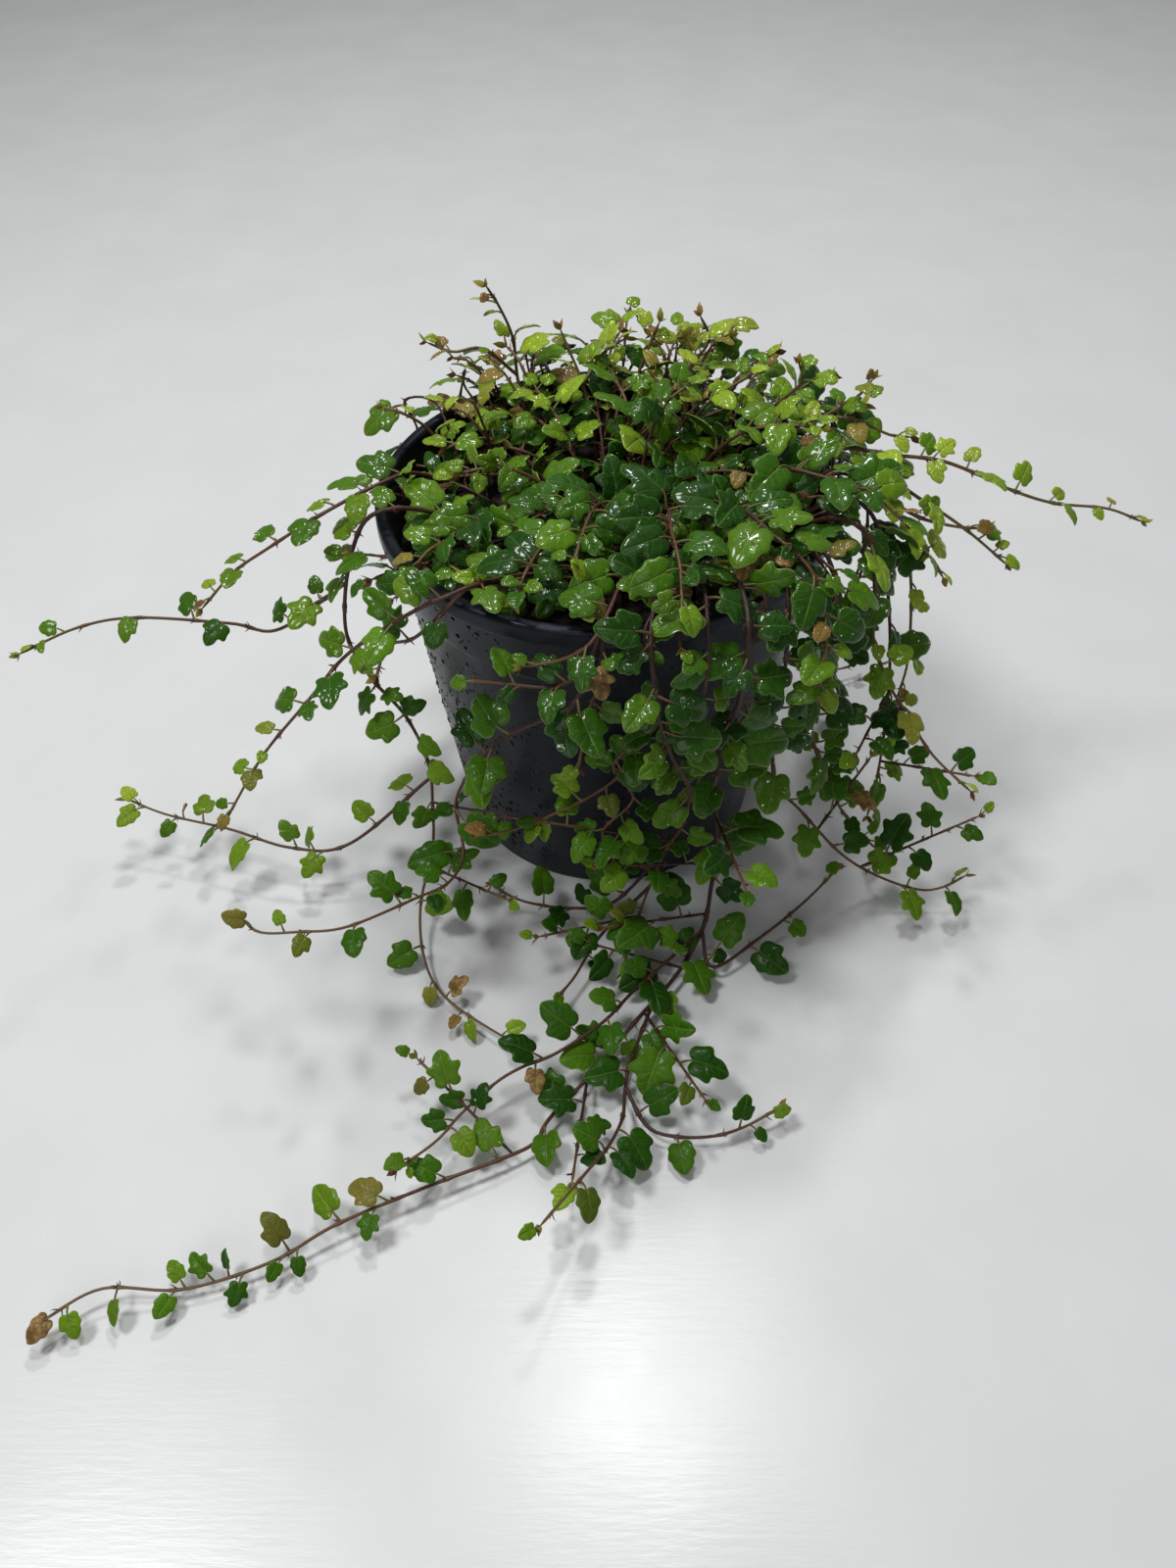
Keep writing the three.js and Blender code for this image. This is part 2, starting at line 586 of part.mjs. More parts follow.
// Where a leaf stands: its petiole's root on the stem, its neck, and the directions of its
// midrib, its side and its upper face. The petiole twists the blade most of the way from the
// stem's own upper side to the window, which is in front of the pot.
function leafPose(strand, ring, seed, attempt) {
  const draw = draws(seed * SEED_STEP + ring * SEED_RING + attempt);
  const wide = 1 + attempt * ATTEMPT_WIDER;
  const before = strand.rings[Math.max(0, ring - 1)];
  const root = strand.rings[ring].clone().lerp(before, ROOT_BACK);
  const after = strand.rings[Math.min(strand.steps, ring + 1)];
  const along = after.clone().sub(before).normalize();
  const outward = new THREE.Vector3(root.x, root.y, 0).normalize();
  const lean = LIGHT_LEAN + HANGING_LEAN * Math.abs(along.z);
  const light = outward.clone().multiplyScalar(lean).add(SKY);
  const side = along.clone().cross(light).normalize();
  const face = side.clone().cross(along).normalize();
  const open = outward.clone().multiplyScalar(SKY_LEAN).add(WINDOW).normalize();
  const facing = face.clone().lerp(open, FACING).normalize();
  const rank = (ring + attempt) % 2 === 0 ? 1 : -1;
  const isTip = ring === strand.steps;
  const turn = isTip ? TIP_TURN : TURN + (draw() - 0.5) * TURN_SPREAD * wide;
  const out = side.clone().multiplyScalar(rank * Math.cos(turn)).addScaledVector(along, Math.sin(turn));
  const tilt = TILT + (draw() - 0.5) * TILT_SPREAD * wide;
  const roll = (draw() - 0.5) * ROLL_SPREAD * wide;
  const age = 1 - (1 - TIP_LEAF_SHARE) * (ring / strand.steps) ** AGE_POWER;
  const size = strand.size * age * (SIZE_LEAST + SIZE_SPREAD * draw()) * (1 - ATTEMPT_SMALLER * attempt);
  const isYoung = ring >= strand.steps - 1;
  const form = isYoung ? PLAIN_FORM : Math.floor(draw() * LEAF_FORMS.length);
  const flat = out.clone().addScaledVector(facing, -FLATTEN * out.dot(facing)).normalize();
  const midrib = flat.addScaledVector(facing, tilt).normalize();
  const across = facing.clone().cross(midrib).normalize().applyAxisAngle(midrib, roll);
  const upper = midrib.clone().cross(across);
  const petiole = out.clone().multiplyScalar(PETIOLE_OUT).addScaledVector(face, PETIOLE_UP)
    .addScaledVector(midrib, PETIOLE_ALONG).normalize();
  const neck = root.clone().addScaledVector(petiole, PETIOLE_MIN + PETIOLE_SHARE * size);
  const sunk = root.clone().addScaledVector(petiole, -PETIOLE_SINK);
  return { root: sunk, neck, midrib, across, upper, size, form };
}

// Height of the blade over its own plane: quilted high along the midrib, curled down at the edge
function bladeRise(along, out) {
  return MIDRIB_RISE - EDGE_CURL * out * out - ENDS_CURL * (along - BLADE_MIDDLE) ** 2;
}

// One blade with its petiole as a closed body: the same triangles above and below, folded along
// the midrib, and a wall round the outline.
function leafSolid(pose, thickness, spread, withPetiole) {
  const { root, neck, midrib, across, upper, size, form } = pose;
  const [leftHalf, rightHalf] = LEAF_FORMS[form];
  const width = (0.5 * PETIOLE_WIDTH) / size;
  const outline = [
    [0, width],
    ...leftHalf,
    [1, 0],
    ...[...rightHalf].reverse().map(([u, v]) => [u, -v]),
    [0, -width],
  ];
  const onBlade = (u, v) => {
    const [su, sv] = [BLADE_MIDDLE + (u - BLADE_MIDDLE) * spread, v * spread];
    return neck.clone()
      .addScaledVector(midrib, su * size)
      .addScaledVector(across, sv * size)
      .addScaledVector(upper, bladeRise(su, sv) * size);
  };
  const rim = outline.map(([u, v]) => onBlade(u, v));
  if (withPetiole) rim.push(root);
  const count = rim.length;
  const last = outline.length - 1;
  const tip = leftHalf.length + 1;
  const lift = upper.clone().multiplyScalar(thickness / 2);
  const vertices = [...rim.map((p) => p.clone().add(lift)), ...rim.map((p) => p.clone().sub(lift))];
  const topFaces = [[0, last, tip]];
  for (let i = 1; i < tip; i += 1) topFaces.push([0, i + 1, i]);
  for (let i = tip; i < last - 1; i += 1) topFaces.push([last, i + 1, i]);
  if (withPetiole) topFaces.push([last, 0, count - 1]);
  const faces = [];
  for (const [a, b, c] of topFaces) faces.push(a, b, c, a + count, c + count, b + count);
  for (let i = 0; i < count; i += 1) {
    const next = (i + 1) % count;
    faces.push(i, next, next + count, i, next + count, i + count);
  }
  const geometry = new THREE.BufferGeometry().setFromPoints(vertices);
  geometry.setIndex(faces);
  return toSolid(geometry);
}

function boxesMeet(a, b) {
  for (let i = 0; i < 3; i += 1) {
    if (a.min[i] > b.max[i] || b.min[i] > a.max[i]) return false;
  }
  return true;
}

function meets(solid, others) {
  const box = solid.boundingBox();
  return others.some((other) => boxesMeet(box, other.box) && !solid.intersect(other.solid).isEmpty());
}

function boxed(solid) {
  return { solid, box: solid.boundingBox() };
}

// Assembly

// Whether a leaf stands clear of the table, the pot, the soil, its own stem and every other leaf
function clearOfAll(plant, pose) {
  const blade = leafSolid(pose, TEST_THICKNESS, TEST_SPREAD, false);
  if (blade.boundingBox().min[2] < TABLE_CLEARANCE) return false;
  if (meets(blade, [...plant.tubes, ...held])) return false;
  if (plants.some((other) => meets(blade, other.leaves))) return false;
  const whole = leafSolid(pose, TEST_THICKNESS, TEST_SPREAD, true);
  if (meets(whole, [...held, ...plant.leaves])) return false;
  const others = plants.filter((other) => other !== plant);
  return !others.some((other) => meets(whole, [...other.tubes, ...other.leaves]));
}

// Below the crown every third joint of a stem has lost its leaf
function isLeafless(strand, ring) {
  return ring % LEAFLESS_EVERY === 0 && ring < strand.steps && strand.rings[ring].z < CROWN_FLOOR;
}

function growLeaves(plant) {
  plant.strands.forEach((strand, order) => {
    for (let ring = strand.bare; ring <= strand.steps; ring += 1) {
      if (isLeafless(strand, ring)) continue;
      for (let attempt = 0; attempt < ATTEMPTS; attempt += 1) {
        const pose = leafPose(strand, ring, plant.index * STRANDS_MOST + order, attempt);
        if (!clearOfAll(plant, pose)) continue;
        plant.leaves.push(boxed(leafSolid(pose, BLADE_THICKNESS, 1, true)));
        break;
      }
    }
  });
}

const potBody = potSolid();
const soilBody = soilSolid(STEMS.map((stem) => stem.route[0]));
const held = [boxed(potBody), boxed(soilBody)];
const plants = STEMS.map((stem, index) => {
  const strands = strandsOf(stem);
  const tubes = strands.map((strand) => boxed(tube(strand)));
  return { name: stem.name, index, strands, tubes, leaves: [] };
});
plants.forEach(growLeaves);

const group = new THREE.Group();
group.add(toMesh("pot", potBody, POT_PLASTIC));
group.add(toMesh("soil", soilBody, SOIL_FILL));
for (const plant of plants) {
  const pieces = [...plant.tubes, ...plant.leaves].map((piece) => piece.solid);
  group.add(toMesh(plant.name, wasm.Manifold.union(pieces), leafMaterial(plant.index)));
}

export default group;
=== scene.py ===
# %% [markdown]
# # Potted oak leaf creeping fig
#
# A round nursery pot full of damp potting mix, and a climbing fig whose wiry stems arch over the
# rim, hang down the wall and creep out over the table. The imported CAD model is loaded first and
# never changed. It fixes where the pot, the mix and each leafy stem are. What follows builds finer
# pieces in the same places, because a reader should be able to swap the plain solids for these
# pieces and find nothing moved. It also adds short shoots between the stems, which only it has.

# %% Load the frame
import math
from collections import namedtuple

import bmesh
import bpy
import numpy as np
from mathutils import Matrix, Vector, kdtree, noise


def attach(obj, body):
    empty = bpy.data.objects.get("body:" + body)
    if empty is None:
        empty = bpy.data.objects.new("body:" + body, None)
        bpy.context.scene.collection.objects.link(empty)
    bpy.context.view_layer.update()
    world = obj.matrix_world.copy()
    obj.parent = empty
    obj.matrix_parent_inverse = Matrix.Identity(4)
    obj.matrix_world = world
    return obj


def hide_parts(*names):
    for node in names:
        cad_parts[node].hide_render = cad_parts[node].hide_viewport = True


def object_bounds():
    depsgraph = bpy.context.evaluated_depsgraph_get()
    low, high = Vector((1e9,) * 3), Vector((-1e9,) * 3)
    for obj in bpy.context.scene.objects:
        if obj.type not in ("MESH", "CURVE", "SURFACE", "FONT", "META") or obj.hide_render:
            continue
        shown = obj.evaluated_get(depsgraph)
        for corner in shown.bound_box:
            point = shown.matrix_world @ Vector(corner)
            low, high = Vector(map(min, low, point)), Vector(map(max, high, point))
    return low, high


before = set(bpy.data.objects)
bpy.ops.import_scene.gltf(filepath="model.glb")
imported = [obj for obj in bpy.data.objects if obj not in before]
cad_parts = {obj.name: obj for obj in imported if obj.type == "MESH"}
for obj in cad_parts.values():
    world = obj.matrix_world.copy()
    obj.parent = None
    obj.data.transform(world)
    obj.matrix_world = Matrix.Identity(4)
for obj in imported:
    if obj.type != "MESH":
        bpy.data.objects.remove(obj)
CAD_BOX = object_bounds()
MM = 0.001
print("CAD nodes:", len(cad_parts), "box in mm:",
      [[round(v / MM) for v in corner] for corner in CAD_BOX])

# %% [markdown]
# ## The camera
#
# The pot was photographed from near by, above and in front, so the front of the plant looms and
# the pot's wall runs together towards its base. Such a view could be set by eye, but a plant has
# few straight lines to judge by. The place and the tilt here were worked out from the outline of
# the pot: its rim, lip, shoulder line, left edge and foot. One picture doesn't tell the lens, so
# a lens close to a phone's usual wide one was taken.

# %% Camera
CAMERA_PLACE = (0.0, -370.8, 388.5)
CAMERA_DOWN = math.radians(46.81)
CAMERA_YAW = math.radians(-1.34)
CAMERA_ROLL = math.radians(-1.40)
CAMERA_LENS = 28.55
CAMERA_FILM = 36.0
CAMERA_NEAR = 0.01

ahead = Vector((math.sin(CAMERA_YAW) * math.cos(CAMERA_DOWN),
                math.cos(CAMERA_YAW) * math.cos(CAMERA_DOWN),
                -math.sin(CAMERA_DOWN)))
right = Vector((math.cos(CAMERA_YAW), -math.sin(CAMERA_YAW), 0))
above = right.cross(ahead)
rolled_right = math.cos(CAMERA_ROLL) * right + math.sin(CAMERA_ROLL) * above
rolled_up = -math.sin(CAMERA_ROLL) * right + math.cos(CAMERA_ROLL) * above
eye = bpy.data.cameras.new("eye")
eye.lens = CAMERA_LENS
eye.sensor_width = CAMERA_FILM
eye.clip_start = CAMERA_NEAR
eye_object = bpy.data.objects.new("eye", eye)
turned_axes = Matrix((rolled_right, rolled_up, -ahead)).transposed().to_4x4()
eye_object.matrix_world = Matrix.Translation(Vector(CAMERA_PLACE) * MM) @ turned_axes
bpy.context.scene.collection.objects.link(eye_object)
bpy.context.scene.camera = eye_object
print("camera at", [round(v, 4) for v in eye_object.location])

# %% [markdown]
# ## The routes of the stems
#
# Each climbing stem is one long curve from its root in the potting mix. A fig like this puts out
# new shoots from the joints of old ones, so a stem may carry shoots, and a shoot further shoots.
# The points are millimetres in the shared frame and are the ones that the CAD solids follow.
# A physics or growth simulation could make such stems too, but it would not land them where the
# photograph shows them, so they are routed one by one and everything on them grows by rule. One
# photograph gives no depth and hides the back, so the heights and the rear stems are guesses.

# %% Stem routes
SOIL_EDGE = 126
ROOT_DEPTH = 10
JOINT = 18
CROWN_JOINT = 12
STEM_RADIUS = 1.15
SHOOT_SHARE = 0.85
TIP_RADIUS = 0.6
CROWN_LEAF, CROWN_BARE = 15, 0.25
Stem = namedtuple("Stem", "name leaf bare route shoots joint radius",
                  defaults=([], JOINT, STEM_RADIUS))
Shoot = namedtuple("Shoot", "of at leaf route")

STEMS = [
    Stem("stem_left_rim", leaf=12.5, bare=0.1, route=[
        (-46, -12), (-47, -13, 132), (-60, -19, 148), (-77, -25, 151), (-87, -23, 134),
        (-94, -20, 108), (-95, -19, 90), (-87, -26, 78), (-76, -31, 64), (-69, -38, 46),
        (-68, -48, 32), (-68, -60, 22), (-72, -80, 11), (-69, -101, 6), (-60, -117, 5),
        (-40, -133, 6), (-31, -139, 9),
    ], shoots=[
        Shoot(of=0, at=0.31, leaf=13, route=[
            (-121, -16, 95), (-138, -16, 98), (-169, -22, 106), (-186, -32, 110),
            (-199, -52, 115),]),
        Shoot(of=0, at=0.58, leaf=12.5, route=[
            (-101, -56, 20), (-124, -57, 19), (-149, -49, 21), (-176, -41, 21), (-193, -35, 24),]),
    ]),
    Stem("stem_left_high", leaf=11.5, bare=0.12, route=[
        (-56, 16), (-57, 15, 134), (-66, 4, 148), (-76, -8, 152), (-95, -20, 148), (-115, -24, 137),
        (-129, -24, 127), (-142, -29, 115),
    ]),
    Stem("stem_left_front", leaf=11.5, bare=0.12, route=[
        (-24, -42), (-25, -43, 132), (-36, -58, 148), (-48, -68, 151), (-64, -68, 142),
        (-86, -60, 120), (-101, -65, 104), (-120, -69, 82), (-136, -80, 60),
    ], shoots=[
        Shoot(of=0, at=0.3, leaf=10.5, route=[
            (-60, -67, 134), (-73, -53, 118), (-81, -46, 98),]),
    ]),
    Stem("stem_front_left", leaf=12.5, bare=0.15, route=[
        (6, -34), (6, -36, 134), (5, -60, 151), (1, -78, 153), (-5, -88, 148), (-14, -86, 140),
        (-27, -80, 132),
    ], shoots=[
        Shoot(of=0, at=0.7, leaf=13, route=[
            (-9, -90, 128), (-17, -85, 116), (-33, -78, 100), (-43, -74, 86), (-51, -71, 70),
            (-55, -70, 56), (-52, -84, 47), (-56, -98, 48), (-66, -108, 52), (-87, -123, 56),
            (-103, -125, 56), (-116, -125, 56), (-123, -120, 58),]),
        Shoot(of=1, at=0.1, leaf=10, route=[
            (-17, -86, 129), (-28, -84, 128), (-38, -80, 126), (-46, -75, 122),]),
        Shoot(of=0, at=0.62, leaf=13, route=[
            (-2, -88, 134), (-6, -86, 118), (-8, -83, 102), (-10, -78, 84),]),
    ]),
    Stem("stem_front_middle", leaf=13, bare=0.1, route=[
        (16, -50), (16, -52, 134), (15, -70, 151), (13, -88, 150), (15, -94, 128), (20, -93, 106),
        (27, -88, 84), (26, -84, 62), (21, -80, 44), (16, -83, 30), (12, -88, 19), (8, -96, 12),
        (5, -109, 8),
    ], shoots=[
        Shoot(of=0, at=0.8, leaf=11.5, route=[
            (2, -80, 13), (-14, -79, 8), (-28, -77, 8), (-37, -75, 10), (-45, -75, 18),]),
        Shoot(of=0, at=0.88, leaf=11.5, route=[
            (0, -92, 14), (-7, -100, 10), (-13, -111, 8), (-21, -123, 9),]),
    ]),
    Stem("stem_front_thick", leaf=14.5, bare=0.08, radius=1.5, route=[
        (38, -46), (38, -48, 134), (40, -66, 153), (42, -86, 151), (41, -88, 124), (38, -82, 104),
        (37, -80, 76), (39, -81, 45), (38, -83, 26), (36, -89, 12), (31, -98, 7), (23, -111, 6),
        (8, -130, 6), (-2, -144, 6), (-11, -155, 6), (-21, -167, 6), (-25, -175, 6), (-35, -181, 7),
        (-56, -190, 8), (-86, -204, 9), (-106, -215, 6), (-132, -223, 5), (-156, -224, 8),
        (-172, -234, 8),
    ], shoots=[
        Shoot(of=0, at=0.455, leaf=13, route=[
            (38, -106, 7), (57, -93, 8), (74, -80, 12), (88, -68, 18),]),
        Shoot(of=0, at=0.53, leaf=12.5, route=[
            (7, -146, 7), (5, -157, 7), (4, -168, 9), (-1, -181, 14), (-7, -192, 21),
            (-21, -216, 34),]),
        Shoot(of=2, at=0.3, leaf=10.5, route=[
            (12, -169, 6), (21, -173, 6), (34, -173, 6), (45, -170, 7), (57, -164, 9),]),
        Shoot(of=0, at=0.455, leaf=12.5, route=[
            (10, -118, 12), (-2, -134, 15), (-18, -147, 16), (-30, -152, 15), (-39, -157, 13),
            (-50, -168, 12), (-57, -178, 13), (-68, -191, 19),]),
    ]),
    Stem("stem_front_sweep", leaf=13, bare=0.1, route=[
        (27, -40), (27, -42, 134), (29, -64, 154), (30, -84, 151), (30, -89, 132), (26, -87, 112),
        (18, -84, 98), (9, -80, 90), (1, -80, 79), (-8, -80, 71), (-18, -80, 64), (-28, -82, 60),
        (-38, -84, 58), (-46, -86, 59),
    ]),
    Stem("stem_right_front", leaf=14.5, bare=0.1, route=[
        (46, -36), (47, -38, 134), (53, -60, 154), (55, -74, 150), (56, -76, 126), (55, -72, 100),
        (57, -69, 80), (60, -68, 64), (70, -67, 50), (87, -70, 29), (102, -73, 19), (118, -74, 12),
        (127, -74, 13), (136, -72, 18),
    ]),
    Stem("stem_right_low", leaf=14, bare=0.1, route=[
        (56, -26), (57, -28, 134), (65, -46, 153), (71, -57, 149), (73, -60, 126), (70, -58, 100),
        (74, -55, 72), (84, -55, 46), (92, -56, 31), (104, -58, 17),
    ]),
    Stem("stem_right_hanging", leaf=14.5, bare=0.08, route=[
        (63, -10), (64, -12, 134), (76, -19, 152), (88, -24, 148), (95, -26, 128), (101, -25, 102),
        (104, -29, 78), (104, -36, 60), (103, -43, 38), (102, -44, 20),
    ]),
    Stem("stem_right_reach", leaf=13, bare=0.1, route=[
        (58, -17), (59, -19, 134), (72, -34, 154), (84, -41, 151), (89, -42, 130), (92, -41, 108),
        (99, -45, 92), (107, -51, 81), (116, -59, 70), (130, -68, 60),
    ]),
    Stem("stem_right_far", leaf=11.5, bare=0.1, route=[
        (64, 2), (65, 2, 134), (78, -4, 153), (93, -10, 151), (103, -13, 134), (109, -12, 112),
        (112, -14, 92), (113, -17, 76), (111, -20, 60),
    ], shoots=[
        Shoot(of=0, at=0.33, leaf=11.5, route=[
            (94, -2, 150), (108, -4, 141), (119, -5, 134), (130, -6, 126), (145, -4, 112),]),
        Shoot(of=0, at=0.48, leaf=11.5, route=[
            (110, -8, 135), (124, -6, 130), (134, -4, 128),]),
        Shoot(of=0, at=0.6, leaf=10.5, route=[
            (114, -12, 122), (119, -17, 116),]),
    ]),
    Stem("stem_right_long", leaf=10.5, bare=0.1, route=[
        (57, 10), (58, 10, 134), (70, 9, 151), (83, 7, 154), (98, 4, 153), (115, 5, 150),
        (129, 4, 145), (142, 3, 139), (159, 5, 132), (181, 10, 126), (197, 13, 118),
    ]),
    Stem("stem_right_high", leaf=10.5, bare=0.12, route=[
        (50, 17), (51, 17, 136), (65, 16, 156), (79, 15, 161), (89, 13, 160), (98, 12, 156),
        (107, 15, 153),
    ], shoots=[
        Shoot(of=0, at=0.6, leaf=9, route=[
            (86, 19, 166), (91, 18, 174),]),
    ]),
    Stem("stem_back_right_tuft", leaf=11.5, bare=0.2, route=[
        (46, 27), (47, 27, 138), (58, 28, 156), (68, 26, 168), (66, 24, 177),
    ], shoots=[
        Shoot(of=0, at=0.62, leaf=10.5, route=[
            (70, 34, 162), (80, 38, 164),]),
    ]),
    Stem("stem_back_lime", leaf=13, bare=0.2, route=[
        (-3, 42), (-4, 42, 138), (-8, 48, 156), (-13, 52, 168), (-16, 54, 175),
    ], shoots=[
        Shoot(of=0, at=0.6, leaf=12.5, route=[
            (0, 56, 165), (8, 60, 168),]),
    ]),
    Stem("stem_back_upright", leaf=10.5, bare=0.25, route=[
        (-30, 54), (-30, 55, 138), (-33, 62, 152), (-34, 65, 166), (-38, 63, 179), (-42, 59, 189),
    ], shoots=[
        Shoot(of=0, at=0.62, leaf=11.5, route=[
            (-45, 61, 164), (-56, 59, 164), (-66, 61, 167),]),
    ]),
    Stem("stem_back_left", leaf=11.5, bare=0.2, route=[
        (-40, 43), (-40, 44, 134), (-43, 54, 146), (-49, 56, 153), (-56, 57, 156),
    ]),
    Stem("stem_left_upper", leaf=10.5, bare=0.2, route=[
        (-56, 33), (-57, 33, 132), (-64, 33, 147), (-72, 31, 155), (-80, 31, 158),
    ]),
    Stem("stem_back_middle", leaf=11.5, bare=0.2, route=[
        (12, 47), (12, 48, 138), (12, 55, 154), (17, 57, 168), (20, 57, 176),
    ]),
    Stem("stem_back_brown", leaf=11.5, bare=0.2, route=[
        (29, 44), (29, 46, 138), (31, 56, 156), (38, 57, 168), (34, 55, 179),
    ]),
    Stem("stem_back_right", leaf=11.5, bare=0.2, route=[
        (40, 36), (41, 37, 138), (46, 44, 156), (53, 47, 164), (62, 48, 168),
    ]),
]
CROWN_ROUTES = {
    "left_front": [(-30, -6), (-31, -8, 136), (-42, -22, 146), (-50, -36, 149), (-56, -46, 152),
                   (-62, -52, 148)],
    "left_back": [(-22, 14), (-23, 15, 138), (-36, 22, 148), (-48, 24, 149), (-58, 22, 146)],
    "front_left": [(-9, -20), (-10, -22, 138), (-18, -40, 151), (-24, -58, 154), (-28, -72, 152)],
    "front": [(2, -8), (2, -10, 140), (-3, -30, 157), (-7, -48, 160), (-10, -66, 160)],
    "front_right": [(19, -14), (19, -16, 140), (20, -34, 158), (20, -52, 163), (22, -70, 162),
                    (22, -86, 158)],
    "right_front": [(34, -20), (34, -22, 140), (42, -38, 160), (50, -54, 163), (62, -68, 158),
                    (67, -78, 142), (66, -82, 122)],
    "right": [(42, -6), (43, -7, 140), (56, -16, 160), (70, -26, 164), (84, -32, 162),
              (96, -38, 154)],
    "right_back": [(32, 8), (32, 8, 142), (44, 5, 160), (58, 2, 166), (72, -3, 168)],
    "back_right": [(25, 26), (26, 27, 140), (34, 32, 154), (44, 34, 162), (54, 38, 166)],
    "back": [(9, 20), (9, 21, 142), (8, 32, 156), (4, 44, 160), (2, 54, 160)],
    "back_left": [(-10, 24), (-11, 25, 140), (-16, 32, 150), (-22, 40, 154), (-26, 50, 155)],
    "left": [(-15, -2), (-16, -2, 138), (-26, -2, 150), (-38, -3, 154), (-50, -4, 153)],
    "middle": [(12, 4), (12, 5, 142), (16, 10, 160), (22, 16, 168), (30, 20, 172)],
}
STEMS += [Stem("stem_crown_" + side, CROWN_LEAF, CROWN_BARE, route, joint=CROWN_JOINT)
          for side, route in CROWN_ROUTES.items()]
STEMS += [
    Stem("stem_hanging_right", leaf=13, bare=0.08, route=[
        (54, 29), (55, 30, 136), (69, 37, 152), (82, 42, 148), (87, 44, 124), (87, 44, 96),
        (85, 44, 70), (87, 46, 44), (93, 50, 22), (103, 56, 9), (116, 62, 7),
    ]),
    Stem("stem_hanging_back_right", leaf=13, bare=0.08, route=[
        (40, 48), (41, 49, 136), (50, 59, 151), (59, 69, 148), (62, 73, 122), (61, 72, 92),
        (59, 72, 62), (63, 78, 34), (73, 90, 13), (86, 102, 7),
    ]),
    Stem("stem_hanging_back_left", leaf=12.5, bare=0.08, route=[
        (-16, 60), (-16, 61, 136), (-23, 74, 151), (-28, 87, 147), (-30, 92, 122), (-29, 90, 96),
        (-27, 86, 66), (-30, 90, 38), (-36, 96, 18),
    ]),
]
print(len(STEMS), "stems with", sum(len(stem.shoots) for stem in STEMS), "shoots")

# %% [markdown]
# ## From points to strands
#
# A strand is a stem or a shoot with its joints marked, the places where leaves stand. The curve
# through the points is a Catmull-Rom spline, which passes through each point and bends evenly
# between them. Blender's own Bezier curves would do, but the CAD source steps along this kind of
# spline at equal lengths, and the leaves stay in their places only if this script does the same.

# %% Curves
LENGTH_SAMPLES = 200


def spline_point(points, share):
    """The point at a share of the way through the spline's control points."""
    place = (len(points) - 1) * share
    start = min(int(place), len(points) - 2)
    part = place - start
    p1, p2 = points[start], points[start + 1]
    p0 = points[start - 1] if start > 0 else 2 * p1 - p2
    p3 = points[start + 2] if start + 2 < len(points) else 2 * p2 - p1
    t0, t1 = 0.5 * (p2 - p0), 0.5 * (p3 - p1)
    return (p1 + t0 * part + (-3 * p1 + 3 * p2 - 2 * t0 - t1) * part ** 2
            + (2 * p1 - 2 * p2 + t0 + t1) * part ** 3)


class Curve:
    """A spline that can be walked at equal steps of its length."""

    def __init__(self, points):
        self.points = [np.array(p, float) for p in points]
        walk = [spline_point(self.points, i / LENGTH_SAMPLES) for i in range(LENGTH_SAMPLES + 1)]
        steps = [np.linalg.norm(b - a) for a, b in zip(walk, walk[1:])]
        self.lengths = np.concatenate([[0], np.cumsum(steps)])
        self.length = self.lengths[-1]

    def at(self, share):
        place = np.interp(share * self.length, self.lengths, np.linspace(0, 1, LENGTH_SAMPLES + 1))
        return spline_point(self.points, place)


class Strand:
    """A stem or shoot: its curve, its joints, the leaf length and the joints bare at its root."""

    def __init__(self, points, leaf, radius, bare_share, joint):
        self.curve = Curve(points)
        self.steps = max(2, math.floor(self.curve.length / joint + 0.5))
        self.rings = [self.curve.at(i / self.steps) for i in range(self.steps + 1)]
        self.leaf = leaf
        self.radius = radius
        self.bare = max(1, math.floor(self.steps * bare_share + 0.5))


def strands_of(stem):
    root = (*stem.route[0], SOIL_EDGE - ROOT_DEPTH)
    strands = [Strand([root, *stem.route[1:]], stem.leaf, stem.radius, stem.bare, stem.joint)]
    for shoot in stem.shoots:
        parent = strands[shoot.of]
        start = parent.rings[math.floor(shoot.at * parent.steps + 0.5)]
        strands.append(Strand([start, *shoot.route], shoot.leaf, STEM_RADIUS * SHOOT_SHARE,
                              0, stem.joint))
    return strands


plants = [(stem, strands_of(stem)) for stem in STEMS]
vine_length = sum(strand.curve.length for _, strands in plants for strand in strands)
print("all strands together: %.1f m" % (vine_length * MM))

# %% [markdown]
# ## Where each leaf stands
#
# The leaves stand in two ranks along a stem, turn their faces to the light, and are smaller
# towards the growing tip. The rule draws a little chance for each leaf from a seeded sequence,
# the same sequence as in the CAD source, and offers six poses for a joint. The CAD solids kept the
# first pose that touched nothing, and left some joints bare. This script does not repeat that slow
# test: it looks which offer has its tip among the corners of the CAD solid, and takes that one.

# %% Leaf poses
TURN, TURN_SPREAD, TIP_TURN = 0.55, 0.8, 1.3
TILT, TILT_SPREAD, ROLL_SPREAD = 0.05, 0.7, 0.9
LIGHT_LEAN, HANGING_LEAN, SKY_LEAN, FACING, FLATTEN = 0.25, 0.9, 0.3, 0.75, 0.85
SKY, WINDOW = np.array([0, 0, 1.0]), np.array([0, -0.35, 1.0])
ATTEMPTS, ATTEMPT_WIDER, ATTEMPT_SMALLER = 6, 0.35, 0.06
SEED_STEP, SEED_RING, STRANDS_MOST = 4096, 16, 8
TIP_LEAF_SHARE, AGE_POWER, SIZE_LEAST, SIZE_SPREAD = 0.5, 4, 0.7, 0.5
PETIOLE_MIN, PETIOLE_SHARE, PETIOLE_OUT, PETIOLE_UP, PETIOLE_ALONG = 2, 0.24, 0.75, 0.66, 0.5
ROOT_BACK = 0.35
LOBED, SPADE, PLAIN = "lobed", "spade", "plain"
